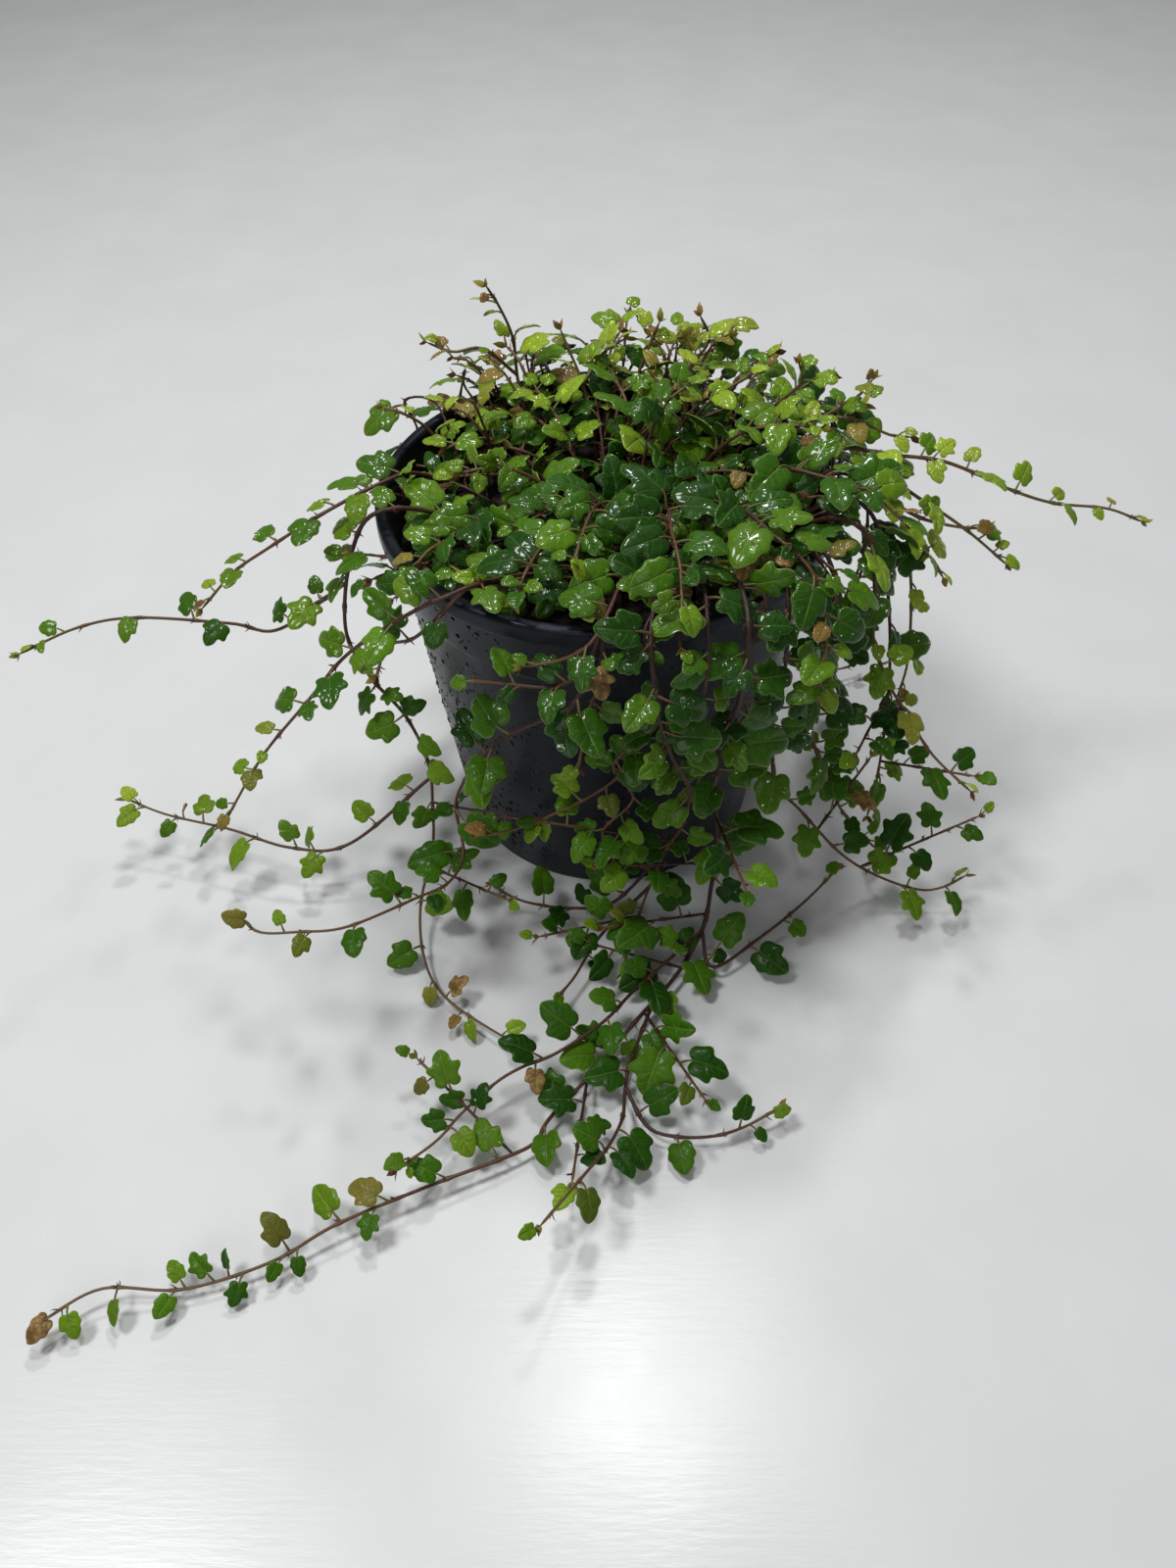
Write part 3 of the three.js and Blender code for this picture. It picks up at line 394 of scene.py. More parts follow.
LEAF_FORMS = [(LOBED, LOBED), (SPADE, SPADE), (SPADE, PLAIN), (PLAIN, SPADE), (PLAIN, PLAIN)]
WORD = 0xFFFFFFFF
Pose = namedtuple("Pose", "root neck midrib across upper size form age")


def draws(seed):
    """A seeded sequence of numbers from 0 to 1."""
    state = seed & WORD

    def draw():
        nonlocal state
        state = (state + 0x6D2B79F5) & WORD
        t = ((state ^ (state >> 15)) * (1 | state)) & WORD
        t = ((t + (((t ^ (t >> 7)) * (61 | t)) & WORD)) & WORD) ^ t
        return ((t ^ (t >> 14)) & WORD) / (WORD + 1)

    return draw


def unit(v):
    return v / np.linalg.norm(v)


def turned(v, axis, angle):
    """v turned about a unit axis."""
    return (v * math.cos(angle) + np.cross(axis, v) * math.sin(angle)
            + axis * np.dot(axis, v) * (1 - math.cos(angle)))


def leaf_pose(strand, place, seed, attempt, rank=None, back=ROOT_BACK, scale=1.0):
    """How a leaf stands at a joint. A place between two joints is allowed too."""
    draw = draws(seed * SEED_STEP + int(place * SEED_RING) + attempt)
    wide = 1 + attempt * ATTEMPT_WIDER
    before = strand.curve.at(max(0, place - 1) / strand.steps)
    here = strand.curve.at(place / strand.steps)
    after = strand.curve.at(min(strand.steps, place + 1) / strand.steps)
    root = here + (before - here) * back
    along = unit(after - before)
    outward = unit(np.array([root[0], root[1], 0]))
    light = outward * (LIGHT_LEAN + HANGING_LEAN * abs(along[2])) + SKY
    side = unit(np.cross(along, light))
    face = unit(np.cross(side, along))
    open_air = unit(outward * SKY_LEAN + WINDOW)
    facing = unit(face + (open_air - face) * FACING)
    if rank is None:
        rank = 1 if (place + attempt) % 2 == 0 else -1
    is_tip = place == strand.steps
    turn = TIP_TURN if is_tip else TURN + (draw() - 0.5) * TURN_SPREAD * wide
    out = side * rank * math.cos(turn) + along * math.sin(turn)
    tilt = TILT + (draw() - 0.5) * TILT_SPREAD * wide
    roll = (draw() - 0.5) * ROLL_SPREAD * wide
    age = (place / strand.steps) ** AGE_POWER
    size = strand.leaf * (1 - (1 - TIP_LEAF_SHARE) * age) * (SIZE_LEAST + SIZE_SPREAD * draw())
    size *= (1 - ATTEMPT_SMALLER * attempt) * scale
    is_young = place >= strand.steps - 1
    form = len(LEAF_FORMS) - 1 if is_young else int(draw() * len(LEAF_FORMS))
    flat = unit(out - facing * FLATTEN * np.dot(out, facing))
    midrib = unit(flat + facing * tilt)
    petiole = unit(out * PETIOLE_OUT + face * PETIOLE_UP + midrib * PETIOLE_ALONG)
    neck = root + petiole * (PETIOLE_MIN + PETIOLE_SHARE * size)
    across = turned(unit(np.cross(facing, midrib)), midrib, roll)
    return Pose(root, neck, midrib, across, np.cross(midrib, across), size, form, age)


def blade_rise(u, v):
    """Height of a blade over its own plane: high along the midrib, curled down at the edge."""
    return 0.1 - 0.38 * v * v - 0.3 * (u - 0.4) ** 2


# %% Match the leaves to the CAD solids
HALF_BLADE = 0.3
MATCH_WITHIN = 0.05
Leaf = namedtuple("Leaf", "node strand place pose seed extra")


def corners_of(node):
    """A search tree over the corners of a CAD node, in millimetres."""
    corners = [v.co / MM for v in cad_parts[node].data.vertices]
    tree = kdtree.KDTree(len(corners))
    for i, corner in enumerate(corners):
        tree.insert(corner, i)
    tree.balance()
    return tree


def stands_in(tree, pose):
    """Whether the CAD solid has this pose's tip, on both faces of the blade."""
    tip = pose.neck + (pose.midrib + pose.upper * blade_rise(1, 0)) * pose.size
    return all(tree.find(Vector(tip + pose.upper * lift))[2] < MATCH_WITHIN
               for lift in (HALF_BLADE, -HALF_BLADE))


leaves, empty_joints = [], []
for index, (stem, strands) in enumerate(plants):
    tree = corners_of(stem.name)
    for order, strand in enumerate(strands):
        seed = index * STRANDS_MOST + order
        for ring in range(strand.bare, strand.steps + 1):
            offers = (leaf_pose(strand, ring, seed, attempt) for attempt in range(ATTEMPTS))
            kept = next((pose for pose in offers if stands_in(tree, pose)), None)
            if kept:
                leaves.append(Leaf(stem.name, strand, ring, kept, seed, False))
            else:
                empty_joints.append((stem.name, strand, ring, seed))
print(len(leaves), "leaves found in the CAD solids,", len(empty_joints), "empty joints")

# %% [markdown]
# ## Leaf outlines
#
# This fig is named for leaves cut like an oak's: a notched base, a round shoulder, a lobe on
# each side and a blunt tip. Many leaves have a lobe on one side only, and the youngest have none.
# Each half outline is a few points for a midrib of length 1, joined by a smooth spline. Tracing
# leaves from a picture would give one leaf each time, while halves can be paired as they are here.

# %% Outlines
HALF_OUTLINES = {
    LOBED: [(0, 0.02), (-0.08, 0.09), (-0.11, 0.19), (-0.08, 0.30), (0.0, 0.365), (0.09, 0.37),
            (0.17, 0.34), (0.25, 0.36), (0.34, 0.44), (0.43, 0.495), (0.51, 0.50), (0.555, 0.44),
            (0.56, 0.34), (0.59, 0.27), (0.67, 0.255), (0.77, 0.245), (0.87, 0.19), (0.95, 0.10)],
    SPADE: [(0, 0.02), (-0.07, 0.10), (-0.10, 0.22), (-0.05, 0.34), (0.06, 0.41), (0.17, 0.42),
            (0.28, 0.455), (0.39, 0.49), (0.48, 0.475), (0.52, 0.40), (0.53, 0.31), (0.59, 0.27),
            (0.68, 0.265), (0.77, 0.25), (0.87, 0.19), (0.95, 0.10)],
    PLAIN: [(0, 0.02), (-0.06, 0.10), (-0.08, 0.21), (-0.03, 0.32), (0.07, 0.385), (0.17, 0.38),
            (0.27, 0.415), (0.37, 0.445), (0.46, 0.42), (0.53, 0.355), (0.62, 0.335), (0.71, 0.32),
            (0.80, 0.255), (0.89, 0.18), (0.96, 0.09)],
}
OUTLINE_POINTS = 42
BLADE_RINGS = (0.3, 0.6, 0.86, 1.0)
UNDER_RINGS = (0.6, 1.0)
BLADE_CENTRE = np.array([0.36, 0.0])


def closed_outline(form):
    """A smooth outline with its points at even steps, from the petiole round by the left."""
    left, right = (HALF_OUTLINES[half] for half in LEAF_FORMS[form])
    loop = [*left, (1, 0), *[(u, -v) for u, v in reversed(right)]]
    curve = Curve([(u, v, 0) for u, v in loop])
    return np.array([curve.at(i / (OUTLINE_POINTS - 1))[:2] for i in range(OUTLINE_POINTS)])


def blade_template(form, rings):
    """Points of one face of a blade as (along, out, ring share, outline share), and its faces."""
    outline = closed_outline(form)
    points = [(*BLADE_CENTRE, 0, 0)]
    for share in rings:
        for i, edge in enumerate(outline):
            points.append((*(BLADE_CENTRE + (edge - BLADE_CENTRE) * share), share,
                           i / OUTLINE_POINTS))
    faces = []
    for i in range(OUTLINE_POINTS):
        j = (i + 1) % OUTLINE_POINTS
        faces.append((0, 1 + j, 1 + i))
        for ring in range(len(rings) - 1):
            a, b = 1 + ring * OUTLINE_POINTS, 1 + (ring + 1) * OUTLINE_POINTS
            faces.append((a + i, a + j, b + j, b + i))
    return np.array(points), faces


TEMPLATES = [blade_template(form, BLADE_RINGS) for form in range(len(LEAF_FORMS))]
UNDERSIDES = [blade_template(form, UNDER_RINGS) for form in range(len(LEAF_FORMS))]
print("points on the upper face of a blade:", len(TEMPLATES[0][0]))

# %% [markdown]
# ## A bundle for points and faces
#
# A leafy stem is built as one mesh, because a mesh with a hundred leaves in it draws much faster
# than a hundred objects. Each point also carries where it is on its leaf or stem, and its tint:
# how young, a number drawn by chance, how bronze or dry, and whether it is on the upper face.
# The materials read these numbers, so one leaf material can paint every leaf its own way.

# %% Bundle
WOOD_FINISH, LEAF_FINISH = 1, 0


class Bundle:
    def __init__(self):
        self.points, self.place, self.tint, self.faces, self.finish = [], [], [], [], []
        self.count = 0

    def add(self, points, faces, place=(0, 0, 0), tint=(0, 0, 0, 1), finish=LEAF_FINISH):
        n = len(points)
        self.points.append(np.asarray(points, float))
        self.place.append(np.broadcast_to(np.asarray(place, float), (n, 3)))
        self.tint.append(np.broadcast_to(np.asarray(tint, float), (n, 4)))
        self.faces += [tuple(i + self.count for i in face) for face in faces]
        self.finish += [finish] * len(faces)
        self.count += n

    def piece(self, name, finishes, slot=None, nodes=(), crease=None):
        """Makes the mesh object, in metres, riding on the part's one body."""
        mesh = bpy.data.meshes.new(name)
        mesh.from_pydata((np.concatenate(self.points) * MM).tolist(), [], self.faces)
        for finish in finishes:
            mesh.materials.append(finish)
        mesh.polygons.foreach_set("material_index", self.finish)
        place = mesh.attributes.new("place", "FLOAT_VECTOR", "POINT")
        place.data.foreach_set("vector", np.concatenate(self.place).ravel())
        tint = mesh.attributes.new("tint", "FLOAT_COLOR", "POINT")
        tint.data.foreach_set("color", np.concatenate(self.tint).ravel())
        mesh.shade_smooth()
        if crease:
            mesh.set_sharp_from_angle(angle=math.radians(crease))
        piece = bpy.data.objects.new(name, mesh)
        bpy.context.scene.collection.objects.link(piece)
        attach(piece, "root")
        if nodes:
            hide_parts(*nodes)
        return piece


def triangles_in(pieces):
    return sum(len(p.vertices) - 2 for piece in pieces for p in piece.data.polygons)


# %% [markdown]
# ## One leaf
#
# A blade is thin, about a third of a millimetre here, quilted between its sunken veins, rolled
# down at the edge and a little wavy, and it stands on a thin curved petiole. The quilting and
# the roll are put into the points by a formula of the place on the leaf. Sculpting would look
# as good on one leaf, but here there are hundreds and each has to differ from the next.

# %% Leaf
LEAF_THICKNESS = 0.32
TABLE_CLEAR = 0.2
LOBES_FROM = 7
LATERAL_STEP = 0.21
LATERAL_RISE = 0.62
QUILT_HEIGHT, QUILT_FROM = 0.028, 0.08
GROOVE_DEPTH, GROOVE_WIDTH = 0.014, 0.035
EDGE_ROLL = 0.018
PETIOLE_JOIN = 0.06
PETIOLE_RADIUS = 0.42
PETIOLE_SIDES = 6
PETIOLE_RINGS = 5


def blade_relief(u, v, ring):
    """The upper face's own relief: pillows between the veins and a groove along the midrib."""
    phase = (u - LATERAL_RISE * np.abs(v)) / LATERAL_STEP
    quilt = QUILT_HEIGHT * np.sin(np.pi * phase) ** 2 * np.clip(np.abs(v) / QUILT_FROM, 0, 1)
    return quilt * (1 - ring ** 4) - GROOVE_DEPTH * np.exp(-(v / GROOVE_WIDTH) ** 2)


def blade_form(u, v, ring, outline, shape):
    """What bends both faces alike: rolled edge, waves, fold and droop."""
    roll = -EDGE_ROLL * ring ** 9
    wave = shape["wave"] * np.sin(2 * np.pi * shape["waves"] * outline + shape["phase"]) * ring ** 3
    fold = shape["fold"] * np.abs(v)
    droop = -shape["droop"] * np.clip(u - 0.35, 0, None) ** 2
    return roll + wave + fold + droop


def shape_of(leaf):
    """The chance shape of one leaf, drawn once from its place."""
    draw = draws(leaf.seed * 977 + int(leaf.place * 31) + 5)
    return {"wave": 0.008 + 0.022 * draw(), "waves": 3 + int(draw() * 3), "phase": draw() * 6.3,
            "fold": 0.02 + 0.26 * draw(), "droop": -0.08 + 0.24 * draw(), "hue": draw(),
            "dry": draw(), "wet": draw(), "bend": 0.24 * (draw() - 0.5),
            "skew": 0.34 * (draw() - 0.5), "breadth": 0.9 + 0.22 * draw()}


def form_of(leaf):
    """The smallest leaves have no lobes yet."""
    return len(LEAF_FORMS) - 1 if leaf.pose.size < LOBES_FROM else leaf.pose.form


def blade_points(pose, shape, u, v, ring, outline, relief=1.0):
    """Places on one blade: no two leaves have the same breadth, skew and curved midrib."""
    u = u + shape["skew"] * v * (1 - np.abs(v))
    v = v * shape["breadth"] + shape["bend"] * np.clip(u, 0, None) ** 2
    rise = blade_rise(u, v) + blade_form(u, v, ring, outline, shape)
    rise = rise + relief * blade_relief(u, v, ring)
    return (pose.neck + np.outer(u, pose.midrib) * pose.size + np.outer(v, pose.across) * pose.size
            + np.outer(rise, pose.upper) * pose.size)


def add_blade(bundle, pose, shape, tint):
    template, faces = TEMPLATES[pose.form]
    top = blade_points(pose, shape, *template.T)
    top[:, 2] = np.maximum(top[:, 2], TABLE_CLEAR + LEAF_THICKNESS)
    beneath, under_faces = UNDERSIDES[pose.form]
    ring = beneath[:, 2]
    under = blade_points(pose, shape, *beneath.T, 0.0)
    under = under - pose.upper * LEAF_THICKNESS * (1 - 0.4 * ring ** 6)[:, None]
    under[:, 2] = np.maximum(under[:, 2], TABLE_CLEAR)
    n, m = len(top), len(under)
    faces = faces + [tuple(n + i for i in reversed(face)) for face in under_faces]
    rim, under_rim = n - OUTLINE_POINTS, n + m - OUTLINE_POINTS
    for i in range(OUTLINE_POINTS):
        j = (i + 1) % OUTLINE_POINTS
        faces.append((rim + i, rim + j, under_rim + j, under_rim + i))
    tints = np.array([[*tint, 1.0]] * n + [[*tint, 0.0]] * m)
    bundle.add(np.vstack([top, under]), faces, np.vstack([template[:, :3], beneath[:, :3]]),
               tints, LEAF_FINISH)


def tube_rings(centres, radii, sides):
    """Points of a tube round a line of centres, with its rings kept from twisting."""
    centres = np.asarray(centres)
    along = np.gradient(centres, axis=0)
    along /= np.linalg.norm(along, axis=1)[:, None]
    seed = np.array([0, 0, 1.0]) if abs(along[0][2]) < 0.9 else np.array([1.0, 0, 0])
    normal = unit(np.cross(along[0], seed))
    rings = []
    for centre, direction, radius in zip(centres, along, radii):
        normal = unit(normal - direction * np.dot(normal, direction))
        other = np.cross(direction, normal)
        angles = 2 * np.pi * np.arange(sides) / sides
        rings.append(centre + radius * (np.outer(np.cos(angles), normal)
                                        + np.outer(np.sin(angles), other)))
    return np.vstack(rings)


def tube_faces(rings, sides):
    faces = [tuple(reversed(range(sides)))]
    for ring in range(rings - 1):
        for i in range(sides):
            j = (i + 1) % sides
            a, b = ring * sides, (ring + 1) * sides
            faces.append((a + i, a + j, b + j, b + i))
    faces.append(tuple((rings - 1) * sides + i for i in range(sides)))
    return faces


def add_petiole(bundle, pose, tint):
    """The leaf's stalk: it leaves the stem steeply and arrives along the midrib."""
    reach = np.linalg.norm(pose.neck - pose.root)
    end = pose.neck + pose.midrib * PETIOLE_JOIN * pose.size
    end = end + pose.upper * blade_rise(PETIOLE_JOIN, 0) * pose.size
    end = end - pose.upper * LEAF_THICKNESS * 0.6
    bend = end - pose.midrib * 0.45 * reach
    shares = np.linspace(0, 1, PETIOLE_RINGS)[:, None]
    centres = pose.root * (1 - shares) ** 2 + bend * 2 * shares * (1 - shares) + end * shares ** 2
    radius = PETIOLE_RADIUS * (0.6 + 0.4 * min(1, pose.size / 16))
    radii = radius * np.linspace(1.25, 0.85, PETIOLE_RINGS)
    points = tube_rings(centres, radii, PETIOLE_SIDES)
    along = np.repeat(shares[:, 0], PETIOLE_SIDES) * reach
    place = np.column_stack([along, np.zeros(len(along)), np.zeros(len(along))])
    bundle.add(points, tube_faces(PETIOLE_RINGS, PETIOLE_SIDES), place,
               (min(1, 0.75 + 0.35 * tint[0]), tint[1], 0.55 * tint[1] ** 2, 1), WOOD_FINISH)


# %% [markdown]
# ## One stem
#
# The stems are thin, wiry and woody, thickest at the pot and thinner towards the tip, with a
# swelling at every joint. Small pointed scales and stubs of the rootlets, by which this fig
# climbs, sit at the joints. A curve object with a bevel would give the tube, but not the
# swellings and scales, so the rings are laid along the strand's curve one by one.

# %% Stem
STEM_SIDES = 7
STEM_STEP = 2.4
STEM_SHARE = 0.74
KNOT_SWELL = 0.45
KNOT_WIDTH = 1.3
SCALE_LENGTH = 2.3
TIP_RED, TIP_POINT = 0.8, 0.35
AGE_CURVE, RED_CURVE = 2.4, 3.5
BUD_OUTLINE = ((0.0, 0.16), (0.3, 0.62), (0.62, 0.55), (1.0, 0.05))
BUD_COUNT, BUD_SIDES = 3, 6
BUD_LENGTH = 4.0
BUD_FLATNESS = 0.22


def add_strand(bundle, strand, youth, seed, end=1.0):
    """The tube of a strand from its root to the share `end` of its length."""
    count = max(6, int(end * strand.curve.length / STEM_STEP))
    shares = np.linspace(0, end, count + 1)
    centres = np.array([strand.curve.at(share) for share in shares])
    joints = np.arange(1, strand.steps + 1) - ROOT_BACK
    spacing = strand.curve.length / strand.steps
    radii = []
    for share in shares:
        knot = np.exp(-((share * strand.steps - joints) * spacing / KNOT_WIDTH) ** 2).max()
        plain = strand.radius + (TIP_RADIUS - strand.radius) * share
        radii.append(plain * STEM_SHARE * (1 + KNOT_SWELL * knot))
    radii[-1] *= TIP_POINT
    points = tube_rings(centres, radii, STEM_SIDES)
    along = np.repeat(shares, STEM_SIDES)
    place = np.column_stack([along * strand.curve.length, np.tile(np.arange(STEM_SIDES), count + 1),
                             np.zeros(len(along))])
    age = np.clip(youth + (1 - youth) * along ** AGE_CURVE, 0, 1)
    tint = np.column_stack([age, np.full(len(along), draws(seed)()), TIP_RED * along ** RED_CURVE,
                            np.ones(len(along))])
    bundle.add(points, tube_faces(count + 1, STEM_SIDES), place, tint, WOOD_FINISH)


def add_spike(bundle, base, direction, length, radius, tint):
    """A small pointed scale or rootlet: a three sided spike, slightly bent."""
    side = unit(np.cross(direction, (0.31, 0.52, 0.79)))
    other = np.cross(direction, side)
    corners = [base + radius * (side * math.cos(a) + other * math.sin(a)) for a in (0, 2.1, 4.2)]
    middle = base + direction * length * 0.55 + side * length * 0.12
    waist = [middle + (corner - base) * 0.7 for corner in corners]
    tip = base + direction * length
    faces = [(2, 1, 0), (0, 1, 4, 3), (1, 2, 5, 4), (2, 0, 3, 5), (3, 4, 6), (4, 5, 6), (5, 3, 6)]
    bundle.add([*corners, *waist, tip], faces, (0, 0, 0), tint, WOOD_FINISH)


def add_joint_scales(bundle, strand, seed, end=1.0):
    draw = draws(seed * 53 + 11)
    for ring in range(1, strand.steps + 1):
        share = (ring - ROOT_BACK) / strand.steps
        if share > end:
            break
        centre = strand.curve.at(share)
        along = unit(strand.curve.at(min(1, share + 0.01)) - strand.curve.at(max(0, share - 0.01)))
        radius = (strand.radius + (TIP_RADIUS - strand.radius) * share) * STEM_SHARE
        side = unit(np.cross(along, (0.2, 0.3, 0.93)))
        for _ in range(2 + int(draw() * 3)):
            around = turned(side, along, draw() * 6.3)
            direction = unit(around * (0.6 + 0.5 * draw()) + along * (0.2 + 0.9 * draw()))
            length = SCALE_LENGTH * (0.5 + 0.8 * draw())
            add_spike(bundle, centre + around * radius * 0.7 + along * (draw() - 0.5), direction,
                      length, 0.3, (0.12 + 0.3 * draw(), draw(), 0.5, 1))
    tip = strand.curve.at(end)
    along = unit(tip - strand.curve.at(end - 0.03))
    add_spike(bundle, tip - along * 0.4, along, 1.6, 0.42, (0.9, 0.5, 0.6, 1))
    add_buds(bundle, tip - along * 0.5, along, seed)


def add_buds(bundle, tip, along, seed):
    """The newest leaves of a tip: three, folded and bronze, and at half the tips one is red."""
    draw = draws(seed * 71 + 5)
    side = unit(np.cross(along, (0.31, 0.52, 0.79)))
    for i in range(BUD_COUNT):
        out = turned(side, along, 2.1 * i + draw())
        heading = unit(along * (0.75 + 0.4 * draw()) + out * (0.3 + 0.5 * draw()))
        across = unit(np.cross(heading, out))
        face = np.cross(heading, across)
        length = BUD_LENGTH * (0.6 + 0.6 * draw())
        points = []
        for share, width in BUD_OUTLINE:
            centre = tip + (heading * share + out * 0.15 * share ** 2) * length
            for angle in 2 * np.pi * np.arange(BUD_SIDES) / BUD_SIDES:
                out_there = across * math.cos(angle) + face * BUD_FLATNESS * math.sin(angle)
                points.append(centre + length * width / 2 * out_there)
        points = np.array(points)
        points[:, 2] = np.maximum(points[:, 2], TABLE_CLEAR)
        red = i == 0 and draw() < 0.5
        finish = WOOD_FINISH if red else LEAF_FINISH
        bronze = 1.0 if red else 0.4 + 0.35 * draw()
        bundle.add(points, tube_faces(len(BUD_OUTLINE), BUD_SIDES), (0.5, 0.2, 0.5),
                   (0.75 + 0.25 * draw(), draw(), bronze, 1), finish)


print("stem rings every %.1f mm" % STEM_STEP)

# %% [markdown]
# ## Leaves between the CAD leaves
#
# The living plant has more leaves than the plain solids do: small ones at joints that the solids
# leave bare, and a dense carpet over the pot. Each new leaf is tried in a few poses, and is kept
# where its blade stays clear of every blade before it. Fifteen points stand for each blade, and
# only the blades near by are compared. Real collision of meshes would be more exact, and far
# slower than it is worth here.

# %% Extra leaves
CLEAR_BLADE = 2.4
MORE_LOBED = (0, 0, 1, 2, 3)
EXTRA_TRIES = 7
SAMPLE_PLACES = np.array([(0.0, 0.0), (0.0, 0.28), (0.0, -0.28), (0.2, 0.38), (0.2, -0.38),
                          (0.25, 0.15), (0.25, -0.15), (0.4, 0.45), (0.4, -0.45), (0.45, 0.0),
                          (0.6, 0.22), (0.6, -0.22), (0.75, 0.1), (0.75, -0.1), (0.95, 0.0)])
POT_HEIGHT, LIP_DEPTH, SHOULDER_DROP = 145, 7, 28
RIM_RADIUS, BODY_TOP_RADIUS, BASE_RADIUS = 80, 76.3, 60.2
WALL_SLOPE = (BODY_TOP_RADIUS - BASE_RADIUS) / (POT_HEIGHT - LIP_DEPTH)
WALL_CLEAR, WALL_DEEP, LIP_DEEP, RIM_CLEAR, MIX_CLEAR, FLOOR_CLEAR = 2, 4, 7, 1, 5, 1
BOX_SLACK = 1
CROWN_FLOOR = POT_HEIGHT - 10


def blade_samples(pose):
    u, v = SAMPLE_PLACES.T
    return (pose.neck + np.outer(u, pose.midrib) * pose.size + np.outer(v, pose.across) * pose.size
            + np.outer(blade_rise(u, v), pose.upper) * pose.size)


def clear_of_pot(points):
    """Whether the points miss the pot's wall and the potting mix, and stay over the table."""
    radius, height = np.hypot(points[:, 0], points[:, 1]), points[:, 2]
    wall = BASE_RADIUS + WALL_SLOPE * height
    low = height < POT_HEIGHT + RIM_CLEAR
    in_wall = low & (radius < wall + WALL_CLEAR) & (radius > wall - WALL_DEEP)
    lip = low & (height > POT_HEIGHT - SHOULDER_DROP)
    in_lip = lip & (radius < RIM_RADIUS + WALL_CLEAR) & (radius > RIM_RADIUS - LIP_DEEP)
    in_mix = (radius < wall) & (height < SOIL_EDGE + MIX_CLEAR)
    return not (in_wall | in_lip | in_mix | (height < FLOOR_CLEAR)).any()


def inside_box(points):
    low, high = (np.array(corner) / MM for corner in CAD_BOX)
    return (points >= low - BOX_SLACK).all() and (points <= high + BOX_SLACK).all()


samples = np.vstack([blade_samples(leaf.pose) for leaf in leaves])
extra_leaves = []
SHOOT_DEPTH, SHOOT_JOINT, CURTAIN_JOINT, SIDE_JOINT = 4, 8.5, 11.0, 10.0
CARPET_HEIGHT, CARPET_SIDE, CARPET_OVER, CARPET_DOME = 155, 9, 40, 0.0011
THIN_LEFT, THIN_FRONT, THIN_SHARE = -26, 30, 0.5
CURTAIN_STEPS = 5


def try_leaf(name, strand, place, seed, scale, rank=None):
    """Adds one more leaf if one of a few poses is clear of all the others."""
    global samples
    for attempt in range(EXTRA_TRIES):
        side = None if rank is None else rank * (1 if attempt % 2 == 0 else -1)
        pose = leaf_pose(strand, place, seed, attempt, side, 0.0, scale)
        pose = pose._replace(form=MORE_LOBED[pose.form])
        mine = blade_samples(pose)
        near = np.abs(samples - mine.mean(axis=0)).max(axis=1) < 3 * pose.size
        gaps = np.linalg.norm(samples[near][:, None] - mine[None], axis=2)
        if gaps.size and gaps.min() < CLEAR_BLADE * min(1, pose.size / 12):
            continue
        if not clear_of_pot(mine) or not inside_box(mine):
            continue
        samples = np.vstack([samples, mine])
        extra_leaves.append(Leaf(name, strand, place, pose, seed, True))
        return


def crown_height(x, y):
    """The height of the carpet of leaves: lower on the left, where the mix shows."""
    return CARPET_HEIGHT + CARPET_SIDE * math.tanh(x / CARPET_OVER) - CARPET_DOME * (x * x + y * y)


def rising_route(x, y, heading, stride, rise, shares):
    """A route from inside the mix up to each share of the rise, one more stride on at each."""
    step = np.array([math.cos(heading), math.sin(heading)]) * stride
    route = [(x, y, SOIL_EDGE - SHOOT_DEPTH)]
    for i, share in enumerate(shares):
        route.append((x + step[0] * i, y + step[1] * i, SOIL_EDGE + rise * share))
    return route


def crown_shoot(draw):
    """A short shoot that rises from the mix and bends out under the carpet of leaves."""
    radius, angle = 65 * draw() ** 0.62, 2 * math.pi * draw()
    x, y = radius * math.cos(angle), radius * math.sin(angle)
    if x < THIN_LEFT and y < THIN_FRONT and draw() < THIN_SHARE:
        return None
    heading = angle + (draw() - 0.5) * 2.2
    stride = 9 + 5 * draw()
    rise = crown_height(x, y) - 8 * draw() - SOIL_EDGE
    route = rising_route(x, y, heading, stride, rise, (0.45, 0.8, 0.97, 1.0))
    return Strand(route, 12 + 4 * draw(), STEM_RADIUS * 0.7, 0.3, SHOOT_JOINT)


def back_shoot(draw):
    """An upright shoot in fresh growth at the back of the pot."""
    angle, radius = math.radians(28 + 124 * draw()), 36 + 34 * draw()
    x, y = radius * math.cos(angle), radius * math.sin(angle)
    heading = angle + (draw() - 0.5) * 2.4
    stride = 3 + 5 * draw()
    rise = 25 + 18 * draw()
    route = rising_route(x, y, heading, stride, rise, (0.4, 0.75, 0.95, 1.0))
    return Strand(route, 12.5 + 4 * draw(), STEM_RADIUS * 0.6, 0.45, SHOOT_JOINT)


def curtain_shoot(turn, draw):
    """A stem that arches over the rim and hangs close to the wall."""
    drop = 45 + 65 * draw()
    wander = (draw() - 0.5) * 0.75
    stations = [(58, SOIL_EDGE - SHOOT_DEPTH), (62, 138), (76, 152), (87, 150 + 3 * draw()),
                (91, 134)]
    for i in range(1, CURTAIN_STEPS + 1):
        stations.append((90 - 12 * i / CURTAIN_STEPS + 3 * draw(), 134 - drop * i / CURTAIN_STEPS))
    route = []
    for i, (radius, height) in enumerate(stations):
        angle = turn + wander * i / len(stations) + 0.06 * math.sin(2.1 * i + 6 * draw())
        route.append((radius * math.cos(angle), radius * math.sin(angle), height))
    return Strand(route, 12 + 3.5 * draw(), STEM_RADIUS * 0.55, 0.3, CURTAIN_JOINT)


